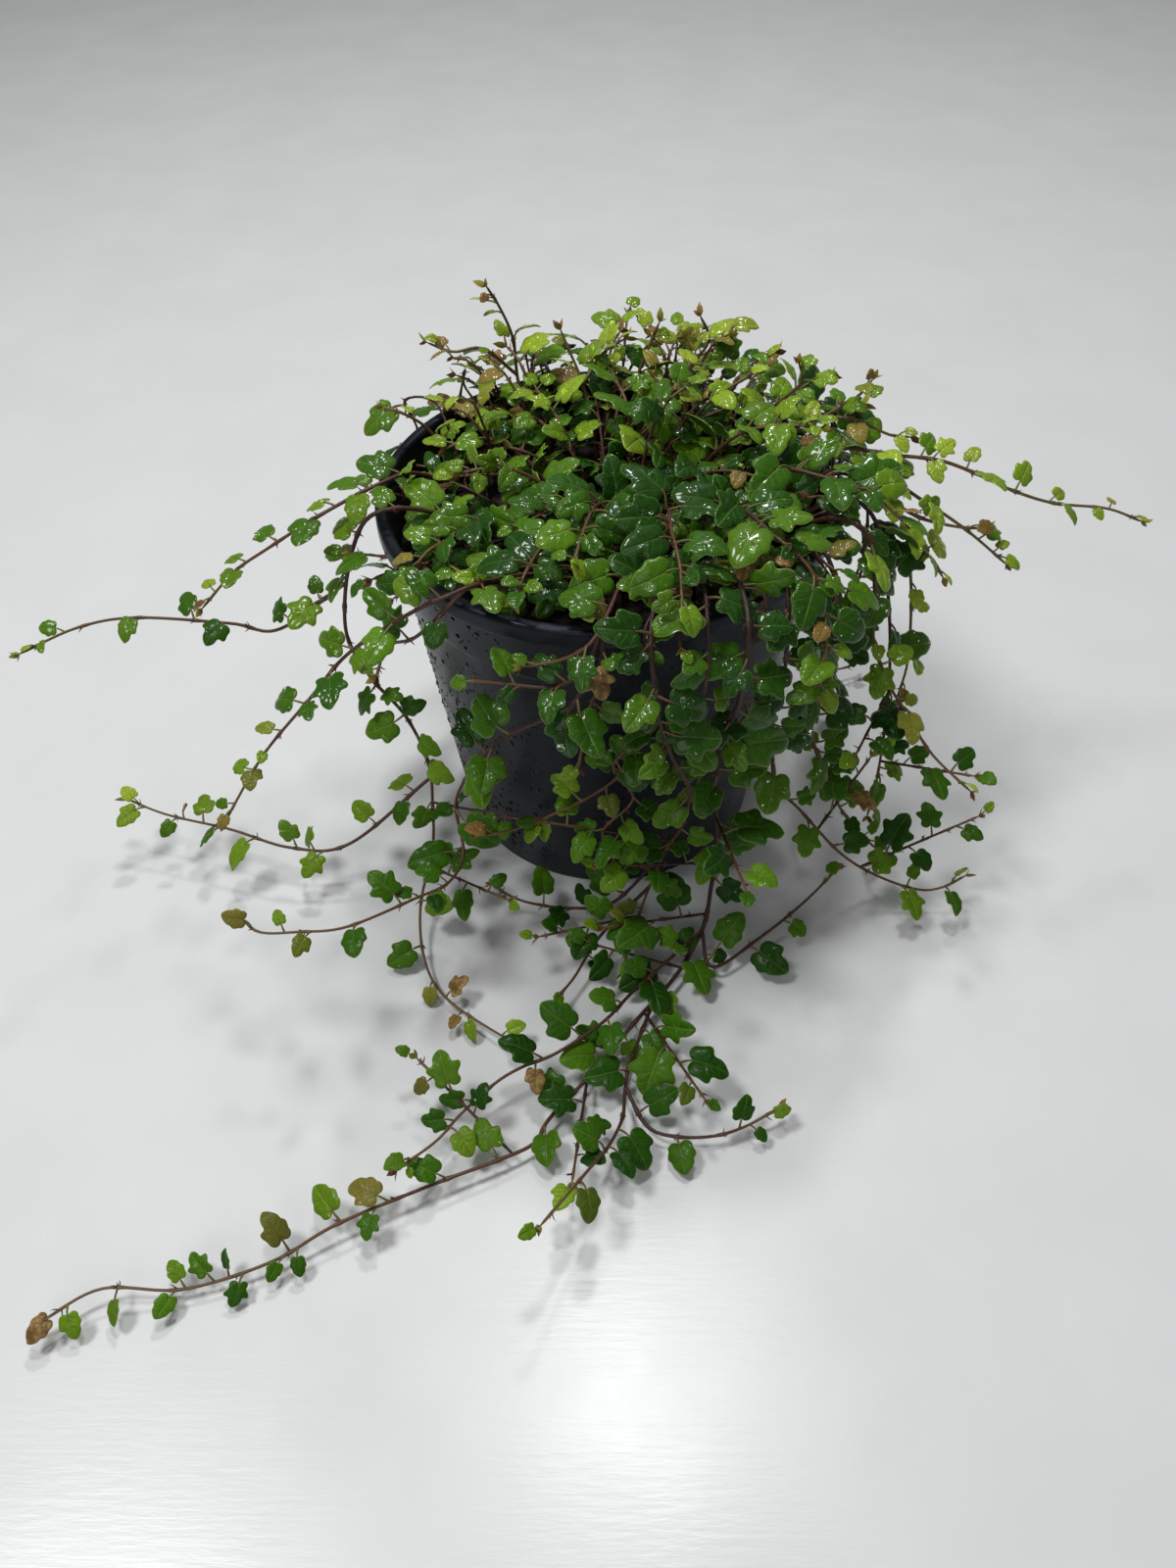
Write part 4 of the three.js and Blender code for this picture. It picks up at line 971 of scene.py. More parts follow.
def side_shoot(strand, share, draw):
    """A short shoot that leaves a stem to one side and creeps on over the table."""
    start = strand.curve.at(share)
    along = strand.curve.at(share + 0.01) - start
    heading = math.atan2(along[1], along[0]) + (0.5 + 0.8 * draw()) * (1 if draw() < 0.5 else -1)
    step = np.array([math.cos(heading), math.sin(heading)]) * (10 + 6 * draw())
    lift = 1 + 4 * draw()
    route = [start] + [(start[0] + step[0] * i, start[1] + step[1] * i, start[2] + lift * i)
                       for i in (1, 2, 3)]
    return Strand(route, 11.5 + 3 * draw(), STEM_RADIUS * 0.6, 0.1, SIDE_JOINT)


CROWN_SHOOTS, BACK_SHOOTS = 66, 24
CURTAIN_TURNS = (-74, -57, -40, -24, -6, 20, 52, 74, 90, 108, 128, 152)
SIDE_SHOOTS = {"stem_front_thick": (0.33, 0.38, 0.43, 0.48, 0.53, 0.6, 0.68),
               "stem_front_middle": (0.74, 0.9), "stem_right_front": (0.72, 0.82),
               "stem_left_rim": (0.62, 0.7), "stem_right_hanging": (0.7, 0.85)}
BARE_JOINT_CHANCE = 0.7
BETWEEN_JOINTS = ((0.5, 0.95), (0.25, 0.75), (0.75, 0.8))
CROWN_CHANCE, HIGH_CHANCE, LOW_CHANCE = 0.9, 0.65, 0.5
QUARTER_HIGH, QUARTER_LOW = 0.35, 0.1
chance = draws(20251)
fill_strands = []
for i in range(CROWN_SHOOTS):
    strand = crown_shoot(chance)
    if strand:
        fill_strands.append(("crown", strand, 2000 + i))
for i in range(BACK_SHOOTS):
    fill_strands.append(("back", back_shoot(chance), 2200 + i))
for i, turn in enumerate(CURTAIN_TURNS):
    fill_strands.append(("curtain", curtain_shoot(math.radians(turn), chance), 2100 + i))
for stem, strands in plants:
    for i, share in enumerate(SIDE_SHOOTS.get(stem.name, ())):
        shoot = side_shoot(strands[0], share, chance)
        fill_strands.append(("side", shoot, 2300 + len(fill_strands)))

for name, strand, ring, seed in empty_joints:
    if chance() < BARE_JOINT_CHANCE:
        try_leaf(name, strand, ring, seed + 400, 0.65 + 0.3 * chance())
for index, (stem, strands) in enumerate(plants):
    for order, strand in enumerate(strands):
        seed = 900 + index * STRANDS_MOST + order
        in_crown = stem.joint == CROWN_JOINT
        for ring in range(1, strand.steps + 1):
            high = strand.rings[ring][2] > CROWN_FLOOR
            for part, scale in BETWEEN_JOINTS:
                wanted = CROWN_CHANCE if in_crown else (HIGH_CHANCE if high else LOW_CHANCE)
                if part != 0.5:
                    wanted *= QUARTER_HIGH if high else QUARTER_LOW
                if chance() < wanted:
                    rank = 1 if chance() < 0.5 else -1
                    size = scale * (0.8 + 0.35 * chance())
                    try_leaf(stem.name, strand, ring - part, seed, size, rank)
before_fill = len(extra_leaves)
for name, strand, seed in fill_strands:
    for ring in range(strand.bare, strand.steps + 1):
        try_leaf(name, strand, ring, seed, 0.82 + 0.25 * chance())
print(before_fill, "extra leaves on the CAD stems,", len(extra_leaves) - before_fill,
      "on", len(fill_strands), "more shoots")

# %% [markdown]
# ## How old a leaf is, and what colour that gives
#
# Old leaves are deep green, the newest at the tips are lime, and on some shoots bronze. A few
# small ones have dried to brown. The stems at the back of the pot and the hanging shoots behind
# it start younger, so lighter and more lime. That is partly fresh growth and partly painted
# light, for the glow of leaves lit from behind. The numbers here only set tints between 0 and 1.
# The leaf material turns them to colour.

# %% Tints
# Starting youth by stem. High values at the back are partly painted light, for leaves lit from
# behind.
FRESH_AND_LIT_STEMS = {
    "stem_back_lime": 0.9, "stem_back_upright": 0.72, "stem_back_left": 0.66,
    "stem_left_upper": 0.62, "stem_back_middle": 0.75, "stem_back_brown": 0.55,
    "stem_back_right": 0.62, "stem_back_right_tuft": 0.62, "stem_right_high": 0.68,
    "stem_right_long": 0.8, "stem_right_far": 0.72, "stem_right_reach": 0.45,
    "stem_left_high": 0.5, "stem_left_rim": 0.36, "stem_left_front": 0.34,
    "stem_crown_back": 0.5, "stem_crown_back_left": 0.55, "stem_crown_back_right": 0.46,
    "stem_crown_left_back": 0.42, "stem_crown_left": 0.32, "stem_crown_middle": 0.2,
    "stem_crown_right_back": 0.3, "stem_crown_front": 0.07, "stem_crown_front_left": 0.07,
    "stem_crown_front_right": 0.07, "stem_crown_left_front": 0.08, "back": 0.72, "crown": 0.03,
}
PLAIN_FRESH = 0.14
REAR_FROM, REAR_FRESH_AND_LIT = 25, 0.5
FRESH_FROM, AGE_GAIN, PLAIN_AGE_GAIN = 0.25, 0.7, 0.42
HUE_CHANCE = 0.56
BRONZE_STEMS = {"stem_back_upright": 0.45, "stem_back_brown": 0.7, "stem_back_right_tuft": 0.5,
                "stem_right_high": 0.5, "stem_right_long": 0.4, "stem_right_far": 0.45,
                "stem_right_reach": 0.3, "stem_back_right": 0.4, "stem_left_upper": 0.35,
                "stem_left_rim": 0.3, "stem_left_front": 0.25, "stem_front_sweep": 0.4,
                "back": 0.4, "crown": 0.22}
PLAIN_BRONZE = 0.1
BRONZE_AGE, BRONZE_LEAF = 0.3, 12
BRONZE_LEAST, BRONZE_SPREAD = 0.2, 0.45
DRY_SHARE = 0.012


def tint_of(leaf, shape):
    """(youth, chance, bronze) of a leaf."""
    fresh = FRESH_AND_LIT_STEMS.get(leaf.node, PLAIN_FRESH)
    # Hanging leaves behind the pot start fresher: partly painted light, as at the back stems.
    if leaf.node == "curtain" and leaf.pose.neck[1] > REAR_FROM:
        fresh = REAR_FRESH_AND_LIT
    gain = AGE_GAIN if fresh > FRESH_FROM else PLAIN_AGE_GAIN
    youth = fresh + (1 - fresh) * gain * leaf.pose.age ** 1.2 + HUE_CHANCE * (shape["hue"] - 0.5)
    small = leaf.pose.size < BRONZE_LEAF
    bronze_share = BRONZE_STEMS.get(leaf.node, PLAIN_BRONZE)
    bronze = 0.0
    if small and leaf.pose.age > BRONZE_AGE and shape["dry"] < bronze_share:
        bronze = BRONZE_LEAST + BRONZE_SPREAD * shape["wet"]
    if small and shape["dry"] > 1 - DRY_SHARE:
        bronze = 1.0
    return (min(1, max(0, youth)), shape["wet"], bronze)


all_leaves = leaves + extra_leaves
print(len(all_leaves), "leaves in all, sizes %.0f to %.0f mm"
      % (min(leaf.pose.size for leaf in all_leaves), max(leaf.pose.size for leaf in all_leaves)))

# %% [markdown]
# ## Mixing finishes
#
# Every finish is a small tree of shader nodes that computes colour, roughness and bump from noise
# and from the numbers that the points carry. Building such trees by hand is slow to read, so this
# helper has one short word for each kind of node.

# %% Paint helper
class Paint:
    def __init__(self, name, **constants):
        self.material = bpy.data.materials.new(name)
        self.material.use_nodes = True
        self.tree = self.material.node_tree
        self.shader = self.tree.nodes["Principled BSDF"]
        for socket, value in constants.items():
            self.shader.inputs[socket.replace("_", " ")].default_value = value

    def node(self, kind, inputs=(), **settings):
        node = self.tree.nodes.new("ShaderNode" + kind)
        for key, value in settings.items():
            setattr(node, key, value)
        for key, value in dict(inputs).items():
            self.feed(node.inputs[key], value)
        return node

    def feed(self, socket, value):
        if isinstance(value, bpy.types.NodeSocket):
            self.tree.links.new(value, socket)
        else:
            socket.default_value = value

    def sum(self, operation, a, b=0.0):
        return self.node("Math", {0: a, 1: b}, operation=operation).outputs[0]

    def step(self, value, low, high, to_low=0.0, to_high=1.0):
        """A smooth step of value from low to high."""
        return self.node("MapRange", {0: value, 1: low, 2: high, 3: to_low, 4: to_high},
                         interpolation_type="SMOOTHSTEP").outputs[0]

    def mix(self, share, a, b):
        node = self.node("Mix", data_type="RGBA")
        for socket, value in zip((node.inputs[0], node.inputs[6], node.inputs[7]), (share, a, b)):
            self.feed(socket, value)
        return node.outputs[2]

    def ramp(self, share, *stops):
        node = self.node("ValToRGB", {0: share})
        ramp = node.color_ramp
        while len(ramp.elements) < len(stops):
            ramp.elements.new(0.5)
        for element, (place, colour) in zip(ramp.elements, stops):
            element.position = place
            element.color = (*colour, 1)
        return node.outputs[0]

    def noise(self, size, detail=3.0, roughness=0.55, stretch=(1, 1, 1)):
        """Noise in object space, with its grains about `size` millimetres across."""
        where = self.node("TexCoord").outputs["Object"]
        stretched = self.node("Mapping", {"Vector": where, "Scale": stretch}).outputs[0]
        return self.node("TexNoise", {"Vector": stretched, "Scale": 1 / (size * MM),
                                      "Detail": detail, "Roughness": roughness}).outputs["Fac"]

    def carried(self, name):
        """A point attribute: its parts and its alpha."""
        node = self.node("Attribute", attribute_name=name)
        parts = self.node("SeparateXYZ", {0: node.outputs["Vector"]}).outputs
        return parts[0], parts[1], parts[2], node.outputs["Alpha"]

    def bump(self, height, depth):
        """Bump whose full height is `depth` millimetres."""
        node = self.node("Bump", {"Height": height, "Distance": depth * MM, "Strength": 1.0})
        self.feed(self.shader.inputs["Normal"], node.outputs[0])

    def set(self, socket, value):
        self.feed(self.shader.inputs[socket], value)


# %% [markdown]
# ## Leaf finish
#
# The photograph shows wet leaves: deep green and glossy when old, lime when young, with slightly
# paler veins and a matt, greyer underside. A thin pale band all round each leaf's rolled edge is a
# painted highlight, mixed into the colour. The veins are drawn from the place on the leaf that
# each point carries, so they follow the quilting of the mesh exactly.
# An image of a real leaf would look right too, but every leaf would then be the same leaf.

# %% Leaf finish
WET_FROM, WET_FULL = 0.05, 0.13


def mix_leaf_finish():
    paint = Paint("wet_leaf", Coat_Roughness=0.08, IOR=1.45, Specular_IOR_Level=0.15)
    along, out, ring, _ = paint.carried("place")
    youth, luck, bronze, upper = paint.carried("tint")
    out = paint.sum("ABSOLUTE", out)
    lowered = paint.sum("SUBTRACT", along, paint.sum("MULTIPLY", out, LATERAL_RISE))
    phase = paint.sum("DIVIDE", lowered, LATERAL_STEP)
    off = paint.sum("ABSOLUTE", paint.sum("SUBTRACT", paint.sum("FRACT", phase), 0.5))
    lateral = paint.step(off, 0.42, 0.5)
    midrib = paint.step(out, 0.03, 0.006)
    vein = paint.sum("MAXIMUM", paint.sum("MULTIPLY", lateral, 0.7), midrib)
    mottle = paint.noise(2.6)
    aged = paint.sum("ADD", youth, paint.sum("MULTIPLY", paint.sum("SUBTRACT", mottle, 0.5), 0.22))
    green = paint.ramp(aged, (0.0, (0.011, 0.054, 0.002)), (0.25, (0.032, 0.115, 0.003)),
                       (0.5, (0.090, 0.218, 0.005)), (0.75, (0.200, 0.350, 0.012)),
                       (1.0, (0.340, 0.480, 0.034)))
    warm = paint.mix(paint.sum("MULTIPLY", luck, 0.35), green, (0.130, 0.160, 0.010, 1))
    green = paint.mix(paint.step(aged, 0.1, 0.6), green, warm)
    dry = paint.ramp(mottle, (0.38, (0.150, 0.080, 0.024)), (0.62, (0.340, 0.225, 0.085)))
    brown = paint.ramp(bronze, (0.2, (0.250, 0.230, 0.030)), (0.65, (0.270, 0.135, 0.045)))
    brown = paint.mix(paint.step(bronze, 0.8, 0.9), brown, dry)
    browned = paint.step(bronze, 0.05, 0.75)
    colour = paint.mix(browned, green, brown)
    # Pale colour for the veins, their own paler green, and for the painted highlight along the
    # edge.
    pale = paint.mix(youth, (0.100, 0.220, 0.040, 1), (0.460, 0.560, 0.110, 1))
    pale = paint.mix(browned, pale, (0.330, 0.220, 0.080, 1))
    shadow = paint.mix(0.5, colour, (0.0, 0.0, 0.0, 1))
    colour = paint.mix(paint.step(paint.noise(1.1, 4.0), 0.5, 0.72, 0.0, 0.4), colour, shadow)
    colour = paint.mix(paint.sum("MULTIPLY", vein, 0.36), colour, pale)
    # Painted highlight: a pale band along the whole edge of every leaf.
    colour = paint.mix(paint.step(ring, 0.93, 1.0, 0.0, 0.6), colour, pale)
    beneath = paint.mix(0.4, colour, (0.090, 0.190, 0.035, 1))
    colour = paint.mix(upper, beneath, colour)
    paint.set("Base Color", colour)
    place = paint.node("TexCoord").outputs["Object"]
    height = paint.node("SeparateXYZ", {0: place}).outputs[2]
    wet = paint.step(height, WET_FROM, WET_FULL)
    paint.set("Coat Weight", paint.sum("ADD", 0.05, paint.sum("MULTIPLY", wet, 0.33)))
    gloss = paint.step(paint.noise(5.0, 2.0), 0.35, 0.65, 0.28, 0.48)
    matt = paint.sum("MAXIMUM", paint.sum("MULTIPLY", bronze, 0.6), gloss)
    under = paint.sum("MULTIPLY", paint.sum("SUBTRACT", 1.0, upper), 0.25)
    paint.set("Roughness", paint.sum("ADD", matt, under))
    relief = paint.sum("SUBTRACT", paint.sum("MULTIPLY", paint.noise(0.7, 2.0), 0.35), vein)
    paint.bump(relief, 0.2)
    return paint.material


def mix_wood_finish():
    """Stems: dark red brown and rough when old, tan green when young."""
    paint = Paint("wiry_stem", IOR=1.45)
    youth, _, bronze, _ = paint.carried("tint")
    streak = paint.noise(0.9, 4.0)
    aged = paint.sum("ADD", youth, paint.sum("MULTIPLY", paint.sum("SUBTRACT", streak, 0.5), 0.5))
    bark = paint.ramp(aged, (0.0, (0.018, 0.008, 0.006)), (0.35, (0.066, 0.025, 0.014)),
                      (0.7, (0.105, 0.062, 0.022)), (1.0, (0.130, 0.190, 0.040)))
    red = paint.mix(streak, (0.210, 0.072, 0.040, 1), (0.100, 0.034, 0.020, 1))
    paint.set("Base Color", paint.mix(bronze, bark, red))
    paint.set("Roughness", paint.step(streak, 0.3, 0.7, 0.38, 0.62))
    paint.bump(streak, 0.12)
    return paint.material


leaf_finish = mix_leaf_finish()
wood_finish = mix_wood_finish()
print("finishes:", leaf_finish.name, wood_finish.name)

# %% [markdown]
# ## Growing the leafy stems
#
# One piece stands for each CAD stem: its smooth stem and shoots, the scales at the joints, and
# all of its leaves, the CAD ones and the extra ones. Each piece replaces its CAD node. Four more
# pieces hold the short shoots that the CAD model doesn't have. They replace nothing.

# %% Leafy stems
CREASE = 70
PAST_LEAF = 0.2
STEM_FRESH, BARE_FRESH, SHOOT_FRESH, FILL_FRESH = 0.75, 0.05, 0.15, 0.1
FILL_PIECES = {"crown": "crown_shoots", "back": "back_shoots", "curtain": "hanging_shoots",
               "side": "side_shoots"}
vine_pieces = []
blade_tops = []


def finish_leafy(bundle, piece_name, owner, nodes=()):
    """Adds the owner's leaves to its stems, each with its petiole, and makes the piece."""
    for leaf in all_leaves:
        if leaf.node != owner:
            continue
        shape = shape_of(leaf)
        tint = tint_of(leaf, shape)
        share = (leaf.place - (0 if leaf.extra else ROOT_BACK)) / leaf.strand.steps
        pose = leaf.pose._replace(root=leaf.strand.curve.at(max(0, share)), form=form_of(leaf))
        add_blade(bundle, pose, shape, tint)
        add_petiole(bundle, pose, tint)
        blade_tops.append((leaf, pose, shape))
    vine_pieces.append(bundle.piece(piece_name, [leaf_finish, wood_finish], "foliage", nodes,
                                    CREASE))


for index, (stem, strands) in enumerate(plants):
    bundle = Bundle()
    for order, strand in enumerate(strands):
        # The same table makes the stems at the back younger and lighter: partly painted light.
        youth = STEM_FRESH * FRESH_AND_LIT_STEMS.get(stem.name, BARE_FRESH) + (SHOOT_FRESH if order else 0)
        add_strand(bundle, strand, youth, index * STRANDS_MOST + order)
        add_joint_scales(bundle, strand, index * STRANDS_MOST + order + 1)
    finish_leafy(bundle, stem.name.replace("stem_", "vine_"), stem.name, [stem.name])
for kind, piece_name in FILL_PIECES.items():
    bundle = Bundle()
    for name, strand, seed in fill_strands:
        places = [leaf.place for leaf in extra_leaves if leaf.strand is strand]
        if name == kind and places:
            end = min(1, (max(places) + PAST_LEAF) / strand.steps)
            add_strand(bundle, strand, FILL_FRESH, seed, end)
            add_joint_scales(bundle, strand, seed, end)
    finish_leafy(bundle, piece_name, kind)
print(len(vine_pieces), "leafy pieces,", triangles_in(vine_pieces), "triangles")

# %% [markdown]
# ## The nursery pot
#
# An injection moulded pot: a flared wall, a shoulder where the wall steps out, and a rolled lip.
# It is turned like wood on a lathe: one outline, spun round the axis. Blender's Screw modifier
# does the same, but points laid one by one let the lip and the foot have true rounds. The drain
# holes are cut with a boolean, as a drill would. The photograph doesn't show the pot from below,
# so the foot and the holes are guesses.

# %% Pot
LIP_WIDTH = 4.4
LIP_ROUND, RIM_ROUND, FOOT_ROUND = 1.2, 1.6, 0.8
SHOULDER_STEP = 0.9
WALL = 1.6
FLOOR_THICKNESS = 1.6
FOOT_WIDTH = 4.5
FOOT_RECESS = 1.4
REST_DISC_RADIUS = 24
DRAIN_RADIUS, DRAIN_CIRCLE, DRAIN_COUNT = 5, 41, 6
DRILL_FROM, DRILL_TO, DRILL_SIDES = -5, 12, 28
POT_SIDES = 144
POT_CREASE = 40
ARC_STEPS = 6


def outer_radius(height):
    step = SHOULDER_STEP if height < POT_HEIGHT - SHOULDER_DROP else 0
    return BASE_RADIUS + WALL_SLOPE * height - step


def arc(centre, radius, start, end):
    """Points on an arc in the outline's plane, from start to end in degrees."""
    angles = [math.radians(start + (end - start) * i / ARC_STEPS) for i in range(ARC_STEPS + 1)]
    return [(centre[0] + radius * math.cos(a), centre[1] + radius * math.sin(a)) for a in angles]


def line(a, b, parts):
    return [(a[0] + (b[0] - a[0]) * i / parts, a[1] + (b[1] - a[1]) * i / parts)
            for i in range(1, parts)]


def pot_outline():
    shoulder = POT_HEIGHT - SHOULDER_DROP
    lip_under = POT_HEIGHT - LIP_DEPTH
    floor_top = FOOT_RECESS + FLOOR_THICKNESS
    foot = BASE_RADIUS - FOOT_WIDTH
    low_base = BASE_RADIUS - SHOULDER_STEP
    lip_in = RIM_RADIUS - LIP_WIDTH
    round_from = POT_HEIGHT - RIM_ROUND
    low, high = outer_radius(shoulder - 0.01), outer_radius(shoulder)
    outline = [(0, 0), (REST_DISC_RADIUS, 0), (REST_DISC_RADIUS + FOOT_RECESS, FOOT_RECESS),
               (foot - FOOT_RECESS, FOOT_RECESS), (foot, 0)]
    outline += arc((low_base - FOOT_ROUND, FOOT_ROUND), FOOT_ROUND, -90, 0)
    outline += line((low_base, FOOT_ROUND), (low, shoulder - 0.6), 14)
    outline += [(low, shoulder - 0.6), (low + 0.15, shoulder - 0.1), (high - 0.15, shoulder + 0.9),
                (high, shoulder + 1.5)]
    outline += line((high, shoulder + 1.5), (BODY_TOP_RADIUS, lip_under), 5)
    outline += [(BODY_TOP_RADIUS, lip_under - 0.3), (BODY_TOP_RADIUS + 0.3, lip_under)]
    outline += arc((RIM_RADIUS - LIP_ROUND, lip_under + LIP_ROUND), LIP_ROUND, -90, 0)
    outline += line((RIM_RADIUS, lip_under + LIP_ROUND), (RIM_RADIUS, round_from), 3)
    outline += arc((RIM_RADIUS - RIM_ROUND, round_from), RIM_ROUND, 0, 90)
    outline += arc((lip_in + RIM_ROUND, round_from), RIM_ROUND, 90, 180)
    outline += line((lip_in, round_from), (high - WALL, shoulder + 1), 6)
    outline += [(high - WALL, shoulder + 1), (low - WALL, shoulder)]
    outline += line((low - WALL, shoulder), (low_base - WALL, floor_top), 8)
    outline += [(low_base - WALL, floor_top), (0, floor_top)]
    return outline


def spin(outline, sides):
    """Points and faces of an outline turned round the axis. Its first and last points are on it."""
    inner = outline[1:-1]
    angles = 2 * np.pi * np.arange(sides) / sides
    rings = [np.column_stack([r * np.cos(angles), r * np.sin(angles), np.full(sides, z)])
             for r, z in inner]
    points = np.vstack([[(0, 0, outline[0][1])], *rings, [(0, 0, outline[-1][1])]])
    last = len(points) - 1
    faces = []
    for i in range(sides):
        j = (i + 1) % sides
        faces.append((0, 1 + j, 1 + i))
        for ring in range(len(inner) - 1):
            a, b = 1 + ring * sides, 1 + (ring + 1) * sides
            faces.append((a + i, a + j, b + j, b + i))
        faces.append((last, last - sides + i, last - sides + j))
    return points, faces


def mix_pot_finish():
    """Black polypropylene: satin, with faint flow marks round the pot and scuffs, and a sheen
    painted blue by its specular tint.
    """
    # The blue specular tint is painted light: a cool colour put on the sheen.
    paint = Paint("nursery_plastic", IOR=1.49, Specular_IOR_Level=0.26,
                  Specular_Tint=(0.70, 0.80, 1.0, 1.0))
    cloud = paint.noise(14.0, 4.0)
    flow = paint.noise(3.0, 3.0, 0.5, (1, 1, 6))
    paint.set("Base Color", paint.ramp(cloud, (0.3, (0.0040, 0.0045, 0.0068)),
                                       (0.7, (0.0075, 0.0082, 0.0120))))
    paint.set("Roughness", paint.step(paint.sum("ADD", cloud, paint.sum("MULTIPLY", flow, 0.5)),
                                      0.5, 1.0, 0.28, 0.42))
    paint.bump(flow, 0.06)
    return paint.material


pot_finish = mix_pot_finish()
pot_bundle = Bundle()
pot_line = pot_outline()
pot_bundle.add(*spin(pot_line, POT_SIDES))
pot = pot_bundle.piece("pot_shell", [pot_finish], "pot_plastic", ["pot"])
print("pot outline points:", len(pot_line))

# %% Drain holes
drills = Bundle()
for i in range(DRAIN_COUNT):
    angle = 2 * math.pi * (i + 0.5) / DRAIN_COUNT
    x, y = DRAIN_CIRCLE * math.cos(angle), DRAIN_CIRCLE * math.sin(angle)
    tube = tube_rings([(x, y, DRILL_FROM), (x, y, DRILL_TO)], (DRAIN_RADIUS,) * 2, DRILL_SIDES)
    drills.add(tube, tube_faces(2, DRILL_SIDES))
drill = drills.piece("drill", [pot_finish])
cut = pot.modifiers.new("drain holes", "BOOLEAN")
cut.operation = "DIFFERENCE"
cut.solver = "EXACT"
cut.object = drill
drilled = bpy.data.meshes.new_from_object(pot.evaluated_get(bpy.context.evaluated_depsgraph_get()))
pot.modifiers.clear()
pot.data = drilled
bpy.data.objects.remove(drill)
drilled.set_sharp_from_angle(angle=math.radians(POT_CREASE))
print("pot triangles:", triangles_in([pot]))

# %% [markdown]
# ## The potting mix
#
# Peat and bark in crumbs and chips, dark and damp, mounded a little in the middle. Most of it is
# hidden under leaves, but on the left it shows inside the rim. A displaced surface alone looks
# like mud, so loose crumbs are scattered on it: small rounded lumps, each knocked out of shape.

# %% Potting mix
SOIL_GAP = 0.3
SOIL_DOME = 3
SOIL_RINGS, SOIL_SIDES = 56, 120
CRUMBS = 560
CRUMB_EDGE = 2.5
CRUMB_SEED = 71


def mix_soil_finish():
    paint = Paint("potting_mix", IOR=1.4)
    luck = paint.carried("tint")[1]
    grain = paint.noise(1.6, 5.0, 0.65)
    shade = paint.sum("ADD", paint.sum("MULTIPLY", grain, 0.6), paint.sum("MULTIPLY", luck, 0.4))
    paint.set("Base Color", paint.ramp(shade, (0.2, (0.006, 0.0035, 0.0022)),
                                       (0.5, (0.016, 0.009, 0.005)), (0.72, (0.036, 0.020, 0.010)),
                                       (0.9, (0.110, 0.068, 0.036))))
    paint.set("Roughness", paint.step(grain, 0.35, 0.65, 0.55, 0.95))
    paint.bump(grain, 0.5)
    return paint.material


def soil_height(x, y):
    share = math.hypot(x, y) / (outer_radius(SOIL_EDGE) - WALL)
    wave = math.sin(x / 10) * math.cos(y / 10) * 0.8
    rough = noise.fractal(Vector((x, y, 0)) * 0.16, 0.8, 2.1, 4) * 1.6
    dome = SOIL_DOME * (1 - share * share)
    return SOIL_EDGE + dome + wave * (1 - share) + rough * (1 - share ** 8)


def soil_mound(bundle):
    edge = outer_radius(SOIL_EDGE) - WALL - SOIL_GAP
    bottom = FOOT_RECESS + FLOOR_THICKNESS + SOIL_GAP
    foot = outer_radius(bottom) - WALL - SOIL_GAP
    shoulder = POT_HEIGHT - SHOULDER_DROP
    waist = outer_radius(shoulder - 1) - WALL - SOIL_GAP
    outline = [(0, bottom), (foot, bottom), (waist, shoulder)]
    outline += [(edge * i / SOIL_RINGS, SOIL_EDGE) for i in range(SOIL_RINGS, -1, -1)]
    points, faces = spin(outline, SOIL_SIDES)
    for point in points[1 + 3 * SOIL_SIDES:]:
        point[2] = soil_height(point[0], point[1])
    luck = [0.5 + 0.9 * noise.noise(Vector(p) * 0.4) for p in points]
    none = np.zeros(len(points))
    tint = np.column_stack([none, luck, none, none + 1])
    bundle.add(points, faces, (0, 0, 0), tint)


def lump():
    """Points and faces of a ball of 80 triangles."""
    ball = bmesh.new()
    bmesh.ops.create_icosphere(ball, subdivisions=2, radius=1)
    points = np.array([v.co for v in ball.verts])
    faces = [tuple(v.index for v in face.verts) for face in ball.faces]
    ball.free()
    return points, faces


def scatter_crumbs(bundle, seed):
    ball, faces = lump()
    draw = draws(seed)
    edge = outer_radius(SOIL_EDGE) - WALL - CRUMB_EDGE
    for _ in range(CRUMBS):
        radius, angle = edge * math.sqrt(draw()), 2 * math.pi * draw()
        x, y = radius * math.cos(angle), radius * math.sin(angle)
        size = 0.5 + 1.3 * draw() ** 2.5
        stretch = np.array([1 + draw(), 1 + 0.5 * draw(), 0.5 + 0.5 * draw()]) * size
        offset = Vector((x, y, draw() * 50))
        knock = np.array([1 + 0.55 * noise.noise(Vector(p) * 1.3 + offset) for p in ball])
        spin_angle, lean = draw() * 6.3, (draw() - 0.5) * 1.2
        turn = Matrix.Rotation(spin_angle, 3, "Z") @ Matrix.Rotation(lean, 3, "X")
        points = (ball * knock[:, None] * stretch) @ np.array(turn).T
        height = soil_height(x, y) + 0.35 * stretch[2]
        bundle.add(points + np.array([x, y, height]), faces, (0, 0, 0), (0, draw(), 0, 1))


soil_finish = mix_soil_finish()
soil_bundle = Bundle()
soil_mound(soil_bundle)
scatter_crumbs(soil_bundle, CRUMB_SEED)
soil = soil_bundle.piece("potting_mix", [soil_finish], "potting_soil", ["soil"])
print("potting mix triangles:", triangles_in([soil]))

# %% [markdown]
# ## Water
#
# The plant in the photograph is wet, as after spraying. Beads stand on the leaves over the pot and
# on its wall, and their bright points of light are what first says wet. Each bead is a low dome
# that sits a little into its leaf. A shader trick of white dots would not catch the lamps when
# the view moves, and real domes do. The beads are kept from casting shadows: a renderer follows
# light through clear water badly and may draw the shadow too dark.

